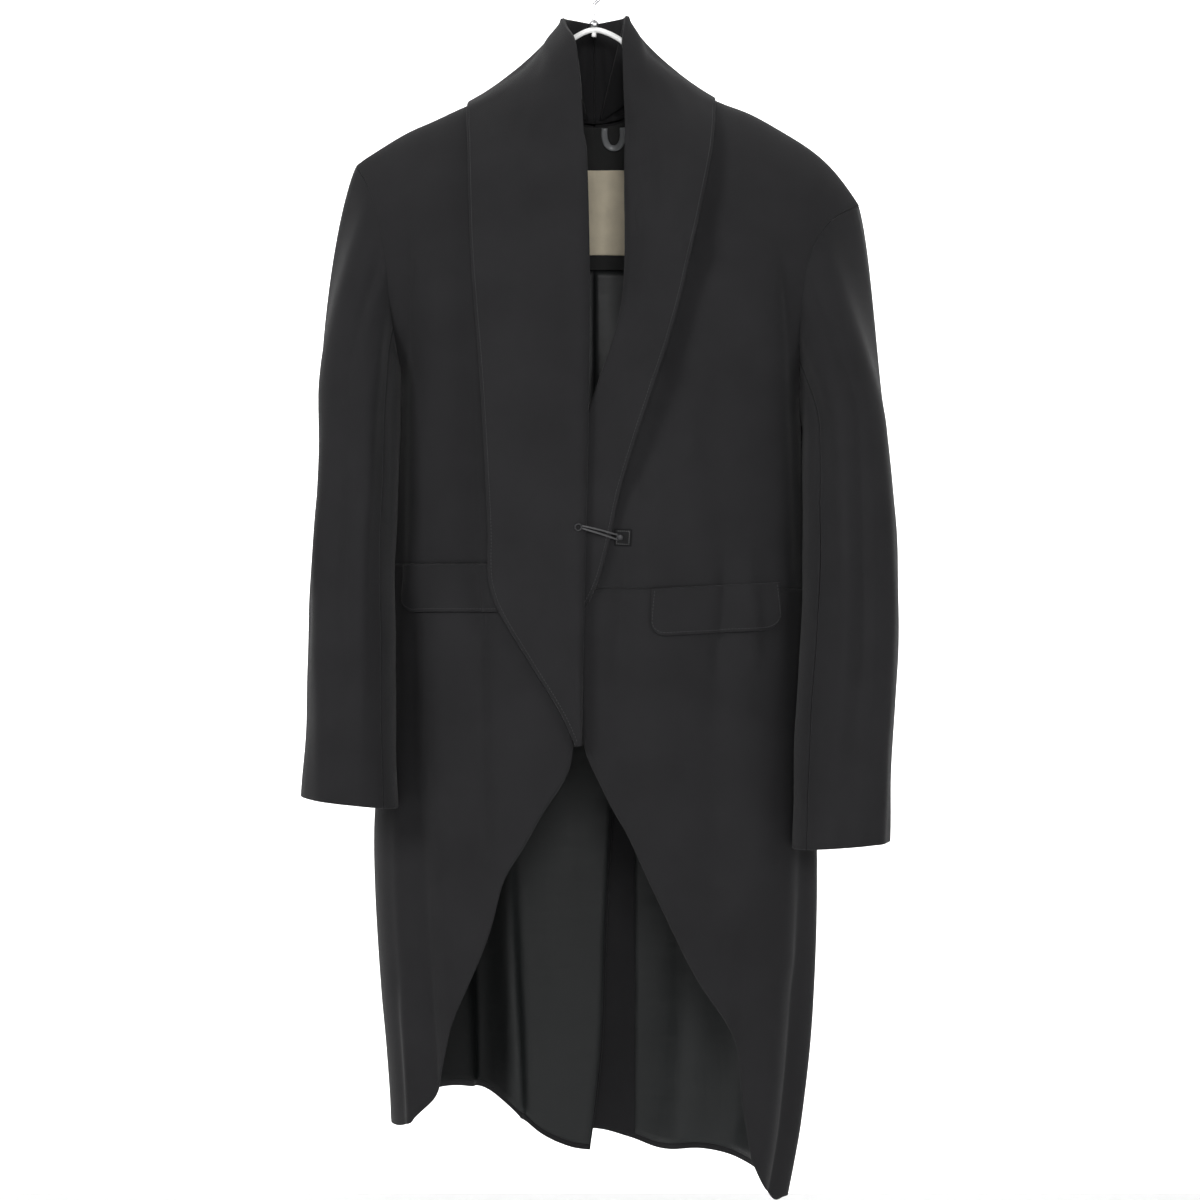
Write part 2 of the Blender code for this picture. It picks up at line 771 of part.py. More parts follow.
def sleeve_point(side, turn, down, cap_share=0.34):
    """A point of the sleeve. down is 0 at the armhole, cap_share at the crown and 1 at the cuff."""
    if down >= cap_share:
        return sleeve_tube(side, turn, (down - cap_share) / (1 - cap_share))
    f = down / cap_share
    start, end = sleeve_start(side, turn), sleeve_tube(side, turn, 0.0)
    key = turn % 1.0
    leave = Vector((side * HEAD.at(SIDE_NAME[side], key), -HEAD.at("forward", key), -HEAD.at("down", key)))
    tube_way = (sleeve_tube(side, turn, 0.05) - end).normalized()
    arrive = tube_way * (start.z - end.z)
    rise = end - start
    return start + f * (leave + f * (3 * rise - 2 * leave - arrive + f * (leave + arrive - 2 * rise)))


def build_sleeves(wool):
    rows = (0.0, 0.03, 0.08, 0.15, 0.235, 0.34, 0.43, 0.53, 0.63, 0.73, 0.82, 0.91, 1.0)
    gap = 0.0009  # half a seam, as a turn
    pieces = {
        "top": spread(BACK_SLEEVE_SEAM - 1.0 + gap, 0, 4)[:-1] + spread(0, FRONT_SLEEVE_SEAM - gap, 8),
        "under": spread(FRONT_SLEEVE_SEAM + gap, BACK_SLEEVE_SEAM - gap, 9),
    }
    for side in (RIGHT, LEFT):
        for piece, turns in pieces.items():
            points = [[sleeve_point(side, turn, down) for turn in turns] for down in rows]
            normals = []
            for down, row in zip(rows, points):
                normals.append([])
                for turn, point in zip(turns, row):
                    tip = 0.008
                    round_it = sleeve_point(side, turn + tip, down) - sleeve_point(side, turn - tip, down)
                    high, low = max(down - 0.02, 0.0), min(down + 0.02, 1.0)
                    down_it = sleeve_point(side, turn, low) - sleeve_point(side, turn, high)
                    out = round_it.cross(down_it).normalized()
                    normals[-1].append(out * -side)
            wall(f"sleeve_{piece}_{SIDE_NAME[side]}", points, normals, CLOTH, wool)


# ---- collar ---------------------------------------------------------------------------------------


def collar_seam(side, seam):
    """Where the collar is sewn on: just off the neckline of the back, then the front's inner edge."""
    if seam > 0.0:
        line = edge_line(side, "front", 0)
        point, normal = along(line, below_hook, FRONT_EDGE[side].keys[0] + seam)
        return point + normal * (CLOTH + COLLAR_CLEAR) - Vector((side * COLLAR_INSIDE, 0, 0))
    line = [(p, n) for p, n in edge_line(side, "back", 0) if -p.z < NECK_SIDE + NECK_BACK_DEEP + 4]
    point, normal = along(line, lambda p: -side * p.x, -NECK_HALF * math.sin(math.pi / 2 * (1 + seam)))
    inwards = Vector((-point.x / NECK_HALF, 0, 1)).normalized()
    return point + normal * CLOTH + inwards * COLLAR_INSIDE


def clear_of_body(side, point, out):
    """The point moved forwards or back until it is that far outside the form."""
    x, drop = side * point.x, -point.z
    front = point.y < 0
    turn = turn_at(side, x, drop, front)
    if drop < ridge_drop(side, round(abs(turn), 6)) + 1.0 or abs(x) > 170:
        return point
    surface = form(side, turn, drop)
    steep = max(abs(form_normal(side, turn, drop).y), 0.4)
    reach = abs(surface.y) + out / steep
    return Vector((point.x, math.copysign(max(abs(point.y), reach), point.y), point.z))


def collar_section(side, station):
    """The collar's underside at one station, from the seam over the roll to the edge."""
    row = {name: COLLAR[side].at(name, station) for name in COLLAR[side].columns}
    roll = Vector((side * row["roll_x"], row["roll_y"], -row["roll_drop"]))
    edge = Vector((side * row["edge_x"], row["edge_y"], -row["edge_drop"]))
    seam = collar_seam(side, row["seam"])
    roll = clear_of_body(side, roll, ROLL_OUT[side])
    at_neck = 1.0 - smooth(5.0, 10.0, station)
    points = [seam.lerp(roll, share) for share in LEG_ACROSS]
    away = (edge - roll).normalized()
    leg = (seam - roll).normalized()
    outwards = (away - leg * away.dot(leg)).normalized() if at_neck > 0 else Vector((0, -1, 0))
    points.append(roll)
    for share in FALL_ACROSS:
        point = roll.lerp(edge, share)
        point += outwards * COLLAR_SAG.at("out", station) * math.sin(math.pi * share**0.8)
        point += outwards * at_neck * 1.2 * smooth(0.0, 0.08, share)
        off_leg = FALL_CLEAR * min(share / FALL_ACROSS[1], 1.0) * min(at_neck * 4, 1.0)
        point += outwards * max(off_leg - (point - roll).dot(outwards), 0.0)
        points.append(clear_of_body(side, point, COLLAR_LIES[side]))
    return points


def build_collars(wool):
    for side in (RIGHT, LEFT):
        last = COLLAR[side].keys[-1]
        stations = [k / 2 for k in range(2 * COLLAR_FINE)] + list(range(COLLAR_FINE, last + 1))
        rows = [collar_section(side, station) for station in stations]
        normals = grid_normals(rows)
        if side == RIGHT:
            normals = [[-n for n in row] for row in normals]
        for point in rows[0]:
            point.x = side * SEAM / 2
        for normal in normals[0]:
            normal.x = 0.0
            normal.normalize()
        wall(f"collar_{SIDE_NAME[side]}", rows, normals, COLLAR_CLOTH, wool)


# ---- what shows inside ----------------------------------------------------------------------------


def back_points(columns, drops, inside):
    """Points and normals at the same distances across and drops for both back panels."""
    places = [[(x, drop_at(x)) for x in columns] for drop_at in drops]
    turns = [[turn_at(RIGHT, -x, drop, front=False) for x, drop in row] for row in places]
    points, normals = [], []
    for turn_row, row in zip(turns, places):
        normals.append([form_normal(RIGHT, turn, drop) for turn, (x, drop) in zip(turn_row, row)])
        flat = [form(RIGHT, turn, drop) for turn, (x, drop) in zip(turn_row, row)]
        points.append([p - n * inside for p, n in zip(flat, normals[-1])])
    return points, normals


def build_inside(facing_cloth, satin, paper):
    from_x, to_x, from_drop, to_drop = LABEL
    columns = sorted(spread(-FACING_HALF, FACING_HALF, 5) + [from_x, 0.5 * (from_x + to_x), to_x])
    rows = [level(drop) for drop in [from_drop] + spread(from_drop, to_drop, 4)[1:]]
    top = [lambda x: neck_drop(x) + 1.0, lambda x: (neck_drop(x) + from_drop) / 2]
    points, normals = back_points(columns, top + rows + [level(FACING_END)], FACING_LIFT + LINING_CLOTH)
    wall("neck_facing", points, normals, LINING_CLOTH, facing_cloth)

    under_label = [x for x in columns if from_x <= x <= to_x]
    points, normals = back_points(under_label, rows, FACING_LIFT + LINING_CLOTH + LAID + LABEL_CLOTH)
    wall("label", points, normals, LABEL_CLOTH, paper)

    for side in (RIGHT, LEFT):
        wall(f"lining_{SIDE_NAME[side]}", *lining_grid(side), LINING_CLOTH, satin)


def lining_grid(side):
    """The back panel's own points below the facing, moved in, with the vent's facing left bare."""
    points, normals = (rows[len(YOKE_ROWS) :] for rows in back_grid(side))
    rows = [list(zip(*pair)) for pair in zip(points, normals)]

    def between(a, b, share):
        return a[0].lerp(b[0], share), a[1].lerp(b[1], share).normalized()

    def shifted(row, other, way):
        return [between(a, b, way / (a[0] - b[0]).length) for a, b in zip(row, other)]

    rows[0] = shifted(rows[0], rows[1], LINING_GAP)
    rows[-1] = shifted(rows[-1], rows[-2], LINING_SHORT)
    for row in rows:
        drop = -row[0][0].z
        if drop > VENT_TOP:
            start = VENT_FACING if side == LEFT else VENT_FACING_WIDE - VENT_EDGE[side].at("x", drop)
            kept = [place for place in row if side * place[0].x > start]
            first = row[-len(kept) - 1]
            edge = between(first, kept[0], (side * start - first[0].x) / (kept[0][0].x - first[0].x))
            spare = len(row) - 1 - len(kept)
            steps = [between(edge, kept[0], k / (spare + 1)) for k in range(1, spare + 1)]
            row[:] = [edge] + steps + kept
    inwards = LINING_LIFT + LINING_CLOTH
    points = [[point - normal * inwards for point, normal in row] for row in rows]
    return points, [[normal for point, normal in row] for row in rows]


# ---- flaps, buttons and the fastening -------------------------------------------------------------


def build_flaps(wool):
    for side in (RIGHT, LEFT):
        near, far, near_top, far_top = FLAPS[side]
        level_turns = [turn_at(side, x, near_top) for x in (near + FLAP_CORNER, far - FLAP_CORNER)]
        middle = [side * form(side, turn, near_top).x for turn in spread(*level_turns, 8)]
        points, normals = [], []
        for v in spread(0, 1, 4):
            points.append([])
            normals.append([])
            for x in [near, near + 4] + middle + [far - 4, far]:
                top = near_top + (far_top - near_top) * (x - near) / (far - near)
                corner = max(FLAP_CORNER - (x - near), FLAP_CORNER - (far - x), 0.0) / FLAP_CORNER
                high = FLAP_HIGH - FLAP_CORNER * (1.0 - math.sqrt(1.0 - corner**2))
                drop = top + high * v
                turn = turn_at(side, x, drop)
                points[-1].append(on_form(side, turn, drop, CLOTH + FLAP_LIFT))
                normals[-1].append(form_normal(side, turn, drop))
        wall(f"flap_{SIDE_NAME[side]}", points, normals, CLOTH, wool)


def build_buttons(horn):
    mesh_source = bmesh.new()
    bmesh.ops.create_cone(
        mesh_source,
        cap_ends=True,
        segments=16,
        radius1=BUTTON_RADIUS * MM,
        radius2=BUTTON_RADIUS * MM,
        depth=BUTTON_THICK * MM,
    )
    mesh = to_mesh("cuff_button", mesh_source)
    for side in (RIGHT, LEFT):
        long = CUFF_OUTER[side] - SLEEVE_CROWN[side]
        for k in range(CUFF_BUTTONS):
            down = 1.0 - (BUTTON_FROM_HEM + BUTTON_PITCH * k) / long
            here = sleeve_tube(side, BUTTON_TURN, down)
            beside = sleeve_tube(side, BUTTON_TURN + 0.01, down) - sleeve_tube(side, BUTTON_TURN - 0.01, down)
            along = sleeve_tube(side, BUTTON_TURN, down + 0.01) - sleeve_tube(side, BUTTON_TURN, down - 0.01)
            out = beside.cross(along).normalized() * -side
            place = here + out * (CLOTH + BUTTON_LIFT + BUTTON_THICK / 2)
            data = mesh.copy()
            made = add(
                f"cuff_button_{SIDE_NAME[side]}_{k + 1}",
                data,
                horn,
                place,
                Vector((0, 0, 1)).rotation_difference(out),
            )
            rim = made.modifiers.new("rim", "BEVEL")
            rim.width = 0.6 * MM
            rim.segments = 1
            rim.limit_method = "ANGLE"


TAB = (20.0, 36.0, 559.0, 574.5)  # from x to x, from drop to drop
TAB_THICK = 1.6
KNOB = (25.0, 566.5)
EYELET = (14.5, 557.5)  # on the right collar, near its roll
EYELET_RADIUS = 3.0
EYELET_WIRE = 0.8
CORD_RADIUS = 0.8
CORD_APART = 1.2  # half the distance between its two strands at the eyelet
CORD_BOWS = 1.5  # how far it bows off the cloth
KNOB_NECK = 1.4
KNOB_PROFILE = ((KNOB_NECK, 0.0), (KNOB_NECK, 2.2), (2.9, 2.6), (3.1, 3.4), (2.6, 4.2), (1.2, 4.6))


def path(name, points, radius, finish, sides=2, cyclic=False):
    """A rod or cord along points, with closed ends."""
    curve = bpy.data.curves.new(name, "CURVE")
    curve.dimensions = "3D"
    curve.bevel_depth = radius * MM
    curve.bevel_resolution = sides
    curve.use_fill_caps = not cyclic
    spline = curve.splines.new("POLY")
    spline.points.add(len(points) - 1)
    for target, point in zip(spline.points, points):
        target.co = (*(Vector(point) * MM), 1.0)
    spline.use_cyclic_u = cyclic
    return add(name, curve, finish)


def smooth_path(points, per_span=4):
    """More points, on a smooth curve through the given ones."""
    points = [Vector(p) for p in points]
    made = []
    for k in range(len(points) - 1):
        before, a, b, after = (points[min(max(k + i, 0), len(points) - 1)] for i in (-1, 0, 1, 2))
        for step in range(per_span):
            f = step / per_span
            start, end, rise = (b - before) / 2, (after - a) / 2, b - a
            made.append(a + f * (start + f * (3 * rise - 2 * start - end + f * (start + end - 2 * rise))))
    return made + [points[-1]]


def build_fastening(leather, cord_finish, metal):
    from_x, to_x, from_drop, to_drop = TAB
    tab_out = CLOTH + LAID
    columns, levels = spread(from_x, to_x, 3), spread(from_drop, to_drop, 3)
    points = [[at_front(LEFT, x, drop, tab_out) for x in columns] for drop in levels]
    normals = [[form_normal(LEFT, turn_at(LEFT, x, drop), drop) for x in columns] for drop in levels]
    wall("fastener_tab", points, normals, TAB_THICK, leather)

    base = at_front(LEFT, *KNOB, tab_out + TAB_THICK + SEAM)
    knob = bmesh.new()
    ring = [knob.verts.new((0, 0, KNOB_PROFILE[0][1] * MM))]
    ring += [knob.verts.new((r * MM, 0, z * MM)) for r, z in KNOB_PROFILE]
    ring += [knob.verts.new((0, 0, KNOB_PROFILE[-1][1] * MM))]
    for a, b in zip(ring, ring[1:]):
        knob.edges.new((a, b))
    bmesh.ops.spin(
        knob,
        geom=list(knob.verts) + list(knob.edges),
        cent=(0, 0, 0),
        axis=(0, 0, 1),
        angle=2 * math.pi,
        steps=14,
        use_merge=True,
    )
    bmesh.ops.remove_doubles(knob, verts=knob.verts, dist=0.00001)
    bmesh.ops.recalc_face_normals(knob, faces=knob.faces)
    out = form_normal(LEFT, turn_at(LEFT, *KNOB), KNOB[1])
    add("fastener_knob", to_mesh("fastener_knob", knob), metal, base, Vector((0, 0, 1)).rotation_difference(out))

    collar_top = COLLAR_LIES[RIGHT] + COLLAR_CLOTH + EYELET_WIRE + LAID
    eyelet_at = at_front(RIGHT, *EYELET, collar_top)
    ring = [
        eyelet_at + Vector((math.cos(a), 0, math.sin(a))) * EYELET_RADIUS
        for a in spread(0, 2 * math.pi, 17)[:-1]
    ]
    path("fastener_eyelet", ring, EYELET_WIRE, metal, 2, cyclic=True)

    neck = base + out * KNOB_PROFILE[1][1] / 2
    reach = EYELET_RADIUS + EYELET_WIRE + CORD_RADIUS + SEAM
    wrap = KNOB_NECK + CORD_RADIUS + SEAM
    start = eyelet_at + Vector((reach, 0, 0))
    apart = Vector((0, 0, CORD_APART))
    middle = start.lerp(neck, 0.5) + Vector((0, -CORD_BOWS, 0))
    beside = neck - Vector((KNOB_NECK * 1.5, 0, 0))
    upper = [start + apart, middle + apart * 1.5, beside + Vector((0, 0, wrap))]
    round_knob = [
        neck + Vector((math.sin(a), 0, math.cos(a))) * wrap for a in spread(0.16 * math.pi, 0.84 * math.pi, 5)
    ]
    lower = [beside - Vector((0, 0, wrap)), middle - apart * 1.5, start - apart]
    path("fastener_cord", smooth_path(upper + round_knob + lower, 3), CORD_RADIUS, cord_finish, 2)


# ---- hanger and hanging loop ----------------------------------------------------------------------


def build_hanger(steel, white):
    middle = HOOK_RADIUS + WIRE_RADIUS
    centre = Vector((0, 0, -HOOK_RADIUS))
    first, last, step = HOOK_TURNS
    angles = [math.radians(degrees) for degrees in range(first, last + 1, step)]
    curl = [centre + Vector((math.cos(a), 0, math.sin(a))) * middle for a in angles]
    stem = [Vector((x, 0, -drop)) for x, drop in STEM]
    path("hanger_hook", stem + curl, WIRE_RADIUS, steel, 3)

    nut = bmesh.new()
    bmesh.ops.create_cone(
        nut, cap_ends=True, segments=6, radius1=NUT_RADIUS * MM, radius2=NUT_RADIUS * MM, depth=NUT_HIGH * MM
    )
    add("hanger_nut", to_mesh("hanger_nut", nut), steel, (0, 0, -NUT_TOP - NUT_HIGH / 2))

    def shoulder_rod(side):
        made = []
        for x in spread(ROD_START, ROD_END[side], 7):
            slope = (RIDGE.at(SIDE_NAME[side], x + 2) - RIDGE.at(SIDE_NAME[side], x - 2)) / 4
            below = (ROD_RADIUS + ROD_CLEAR) * math.hypot(1, slope)
            made.append((side * x, 0, -RIDGE.at(SIDE_NAME[side], x) - below))
        return made

    arch = [(-x, 0, -drop) for x, drop in reversed(ARCH[RIGHT])]
    arch += [(0, 0, -ARCH_TOP)] + [(x, 0, -drop) for x, drop in ARCH[LEFT]]
    rod = list(reversed(shoulder_rod(RIGHT))) + arch + shoulder_rod(LEFT)
    path("hanger_arms", smooth_path(rod, 2), ROD_RADIUS, white, 2)

    bolt = bmesh.new()
    bmesh.ops.create_cone(
        bolt, cap_ends=True, segments=10, radius1=BOLT_RADIUS * MM, radius2=BOLT_RADIUS * MM, depth=BOLT_HIGH * MM
    )
    below_arch = ARCH_TOP + ROD_RADIUS + LAID + BOLT_HIGH / 2
    add("hanger_bolt", to_mesh("hanger_bolt", bolt), white, (0, 0, -below_arch))


def build_hanging_loop(satin):
    """A narrow satin tape, sewn on at the neck seam, that hangs as a U."""
    out = -FACING_LIFT - LINING_CLOTH - LAID - LOOP_RADIUS
    points = [at_back(LEFT, x, drop, out) for x, drop in LOOP_ROUTE]
    path("hanging_loop", points, LOOP_RADIUS, satin, 2)


# ---- the whole ------------------------------------------------------------------------------------


def main():
    for thing in list(bpy.data.objects):
        bpy.data.objects.remove(thing, do_unlink=True)
    bpy.context.scene.collection.children.link(bpy.data.collections.new(COLLECTION))
    wool = material("black_wool", (0.028, 0.028, 0.030), 0.85)
    facing_cloth = material("facing_cloth", (0.014, 0.014, 0.017), 0.8)
    satin = material("dark_satin", (0.034, 0.036, 0.043), 0.45)
    tape = material("label_tape", (0.26, 0.23, 0.2), 0.8)
    horn = material("dark_horn", (0.03, 0.03, 0.03), 0.3)
    leather = material("dark_leather", (0.05, 0.05, 0.055), 0.5)
    cord_finish = material("waxed_cord", (0.03, 0.03, 0.033), 0.4)
    steel = material("hook_steel", (0.62, 0.62, 0.64), 0.3, 1.0)
    white = material("hanger_white", (0.85, 0.85, 0.85), 0.4)

    build_body(wool)
    build_sleeves(wool)
    build_collars(wool)
    build_inside(facing_cloth, satin, tape)
    build_flaps(wool)
    build_buttons(horn)
    build_fastening(leather, cord_finish, steel)
    build_hanger(steel, white)
    build_hanging_loop(satin)


main()
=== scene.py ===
"""The looks of a long black cutaway jacket with a wide shawl collar, hung on a white hanger.

Lengths are in millimetres and are turned into metres when a mesh is made. X runs from the wearer's
right (-) to the wearer's left (+), the front faces -Y and Z is up. The origin is where the hook hangs,
inside the top of its curve, and "drop" is the distance below it.

The cloth lies on the same form as the solids: each level is a ring, and a place on the ring is its
turn, 0 at the centre front, 0.5 at the side and 1 at the centre back. Here the form also has the
creases, so that all that lies on a panel follows them.
"""

import functools
import math

import bpy
import numpy as np
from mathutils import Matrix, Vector


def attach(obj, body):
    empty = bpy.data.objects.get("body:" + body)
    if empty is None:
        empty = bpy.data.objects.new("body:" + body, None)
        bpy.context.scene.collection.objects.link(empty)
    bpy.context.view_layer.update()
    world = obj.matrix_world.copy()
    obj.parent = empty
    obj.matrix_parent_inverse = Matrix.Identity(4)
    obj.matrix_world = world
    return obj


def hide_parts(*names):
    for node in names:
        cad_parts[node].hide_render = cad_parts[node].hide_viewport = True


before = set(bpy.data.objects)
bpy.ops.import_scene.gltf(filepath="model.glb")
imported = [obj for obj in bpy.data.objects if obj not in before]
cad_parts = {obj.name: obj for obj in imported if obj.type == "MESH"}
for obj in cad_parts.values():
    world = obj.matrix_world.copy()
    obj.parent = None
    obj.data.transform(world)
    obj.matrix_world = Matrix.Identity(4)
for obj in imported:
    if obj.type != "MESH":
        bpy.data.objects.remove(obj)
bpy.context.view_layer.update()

MM = 0.001
RIGHT, LEFT = -1, 1  # the wearer's sides, and the sign of X on each
SIDE_NAME = {RIGHT: "right", LEFT: "left"}

# Cloth thicknesses, and the gaps between what lies on what
CLOTH = 1.8  # wool with its canvas
COLLAR_CLOTH = 2.0
LINING_CLOTH = 1.0
LABEL_CLOTH = 0.6
SEAM = 0.0  # sewn pieces meet with no gap, in a groove between their rounded edges
LAID = 0.4  # the gap under a piece that lies on another
FACING_LIFT = 2.4  # how far inside the form the facing and the lining hang
LINING_LIFT = 0.6
COLLAR_CLEAR = 0.5  # how far the collar's seam stays from the neckline and the front's edge
ARMHOLE_CLEAR = -0.7  # the sleeve's start is tucked this far into the armhole

# Heights of the main lines, as drops below the hook
NECK_SIDE = 123.0  # where the neck meets the shoulder seam
NECK_HALF = 62.0
NECK_BACK_DEEP = 34.0  # how far the neckline dips at the centre back
SHOULDER_FALL = 185.0  # how far below the shoulder ridge the form reaches its full depth
WAIST = {RIGHT: 591.0, LEFT: 615.0}
SLEEVE_TIP = {RIGHT: 206.0, LEFT: 244.0}
ARMPIT = {RIGHT: 412.0, LEFT: 440.0}
SLEEVE_CROWN = {RIGHT: 434.0, LEFT: 462.0}  # below this the sleeve is a plain tube
CUFF_OUTER = {RIGHT: 811.0, LEFT: 853.0}
CUFF_INNER = {RIGHT: 822.0, LEFT: 860.0}
FACING_END = 296.0
LEVEL_OF_HEM = 1150.0
VENT_TOP = 640.0
LEVEL_OF_TIPS = 230.0  # about where both shoulders end

SLEEVE_HEAD = 0.34  # the head's share of the sleeve's rows

ROUNDNESS = 2.3  # exponent of the rings, 2 for an ellipse and more for a boxier one
SHOULDER_ROUNDNESS = 1.6
SLEEVE_ROUNDNESS = 2.2
WRAP = 7.0  # how far the right front stands out where it covers the left one
VENT_WRAP = 4.5  # and the left back where it covers the right one's underlap


class Table:
    """Sizes at a few levels, in named columns. Between the rows a column follows a smooth curve."""

    def __init__(self, names, *rows):
        values = np.array(rows, dtype=float)
        self.keys = values[:, 0]
        self.columns = dict(zip(names.split(), values.T))

    def at(self, name, key):
        keys, values = self.keys, self.columns[name]
        last = len(keys) - 1
        slopes = slopes_at(keys, values)
        key = np.clip(key, keys[0], keys[-1])
        k = np.clip(np.searchsorted(keys, key, side="right") - 1, 0, last - 1)
        step = keys[k + 1] - keys[k]
        f = (key - keys[k]) / step
        return hermite(values[k], values[k + 1], slopes[k] * step, slopes[k + 1] * step, f)


def slopes_at(keys, values):
    """The slope at each key, from the values on both sides of it."""
    last = len(keys) - 1
    places = np.arange(last + 1)
    after, before = np.minimum(places + 1, last), np.maximum(places - 1, 0)
    run = keys[after] - keys[before]
    return (values[after] - values[before]) / run.reshape(-1, *[1] * (values.ndim - 1))


def hermite(a, b, leave, arrive, f):
    """The smooth curve from a to b that leaves and arrives with the given slopes."""
    rise = b - a
    return a + f * (leave + f * (3 * rise - 2 * leave - arrive + f * (leave + arrive - 2 * rise)))


RINGS = Table(
    "drop  right  left  front  back",
    (110, 246, 284, 94, 88),
    (200, 246, 283, 96, 92),
    (250, 243, 277, 97, 94),
    (300, 233, 262, 98, 96),
    (340, 217, 243, 98, 97),
    (380, 200, 222, 98, 97),
    (412, 186.5, 207, 98, 97),
    (440, 186.5, 200.5, 98, 97),
    (470, 187.5, 200.5, 98, 96),
    (520, 191.2, 203.3, 97, 95),
    (600, 196, 204, 96, 93),
    (660, 197, 205.5, 97, 95),
    (720, 199, 207.5, 98, 98),
    (780, 203.5, 209, 99, 100),
    (830, 210.5, 213, 100, 102),
    (900, 210, 213, 101, 104),
    (1000, 204, 209, 102, 106),
    (1060, 199, 205, 102, 107),
    (1130, 195, 197, 101, 108),
    (1170, 196, 190, 100, 108),
    (1205, 196, 183, 98, 108),
)
RIDGE = Table(
    "x  right  left",
    (0, 98, 98),
    (62, 123, 119),
    (125, 149, 146),
    (151, 161, 156),
    (180, 174, 172),
    (210, 192, 191),
    (230, 206, 209),
    (250, 228, 235),
    (270, 258, 268),
    (300, 320, 330),
)
ARMHOLE = Table(
    "way  right  left",
    (0.00, 230, 256),
    (0.07, 221, 232),
    (0.15, 214, 218),
    (0.28, 206, 207),
    (0.45, 200, 202),
    (0.65, 195, 199),
    (0.85, 189, 199),
    (1.00, 186.5, 200.5),
)
FRONT_EDGE = {
    RIGHT: Table(
        "drop  x",
        (123, 62),
        (150, 60),
        (185, 50),
        (240, 32),
        (300, 19),
        (350, 15.5),
        (420, 16),
        (520, 18),
        (600, 19.5),
        (700, 20),
        (766, 19.5),
        (786, 23),
        (803, 32),
        (822, 45.6),
        (864, 69),
        (888, 84),
        (935, 97.4),
        (1002, 121),
        (1070, 143.5),
        (1092, 152),
        (1110, 163),
        (1122, 172),
    ),
    LEFT: Table(
        "drop  x",
        (119, 62),
        (150, 60),
        (185, 55),
        (240, 47),
        (300, 42),
        (345, 39),
        (395, 25),
        (447, 7),
        (490, -6),
        (540, -12),
        (616, -13),
        (700, -13),
        (761, -10),
        (780, -3.5),
        (799, 6),
        (824, 18),
        (841, 29),
        (892, 52.6),
        (954, 81),
        (988, 100),
        (1027, 127),
        (1050, 139),
        (1100, 143),
        (1153, 148),
    ),
}
SKIRT_HEM = {
    RIGHT: Table("x  drop", (172, 1122), (183, 1128), (198, 1131)),
    LEFT: Table("x  drop", (148, 1153), (163, 1178), (176, 1195), (183, 1200), (190, 1198)),
}
BACK_HEM = {
    RIGHT: Table(
        "x  drop",
        (-4, 1179),
        (24, 1175),
        (54, 1161),
        (84, 1134),
        (114, 1114),
        (157, 1111),
        (197, 1131),
    ),
    LEFT: Table(
        "x  drop",
        (-28, 1157),
        (6, 1158),
        (36, 1166),
        (66, 1175),
        (110, 1174),
        (155, 1184),
        (190, 1198),
    ),
}
VENT_EDGE = {
    RIGHT: Table("drop  x", (640, 24), (834, 19), (956, 13), (1066, 9), (1126, 3), (1177, -4)),
    LEFT: Table("drop  x", (640, 26), (1200, 28)),
}
VENT_FACING = 41.0  # where the left lining starts, beside the vent
VENT_FACING_WIDE = 2.0  # how far the right lining stops from the vent's edge
LINING_SHORT = 12.0  # how far the lining ends above the hem
LINING_GAP = 0.5  # between the facing's end and the lining's top

# Folds that run down to the hem: place on the ring, width there, where they start and depth at the
# hem, positive outwards.
FOLDS = (
    # side, turn, width, start, depth
    (RIGHT, 0.880, 0.016, 770, -14),
    (RIGHT, 0.838, 0.024, 740, 16),
    (RIGHT, 0.640, 0.060, 700, 5),
    (RIGHT, 0.330, 0.022, 690, 5),
    (RIGHT, 0.270, 0.024, 640, -6),
    (RIGHT, 0.200, 0.024, 660, 4),
    (LEFT, 0.860, 0.040, 800, -9),
    (LEFT, 0.780, 0.040, 820, 8),
    (LEFT, 0.650, 0.050, 720, -6),
    (LEFT, 0.430, 0.030, 660, 4),
    (LEFT, 0.365, 0.028, 690, -6),
    (LEFT, 0.290, 0.035, 640, 4),
    (LEFT, 0.225, 0.028, 690, -4),
)
FOLD_GROWTH = 420.0  # over this length a fold comes to its full depth

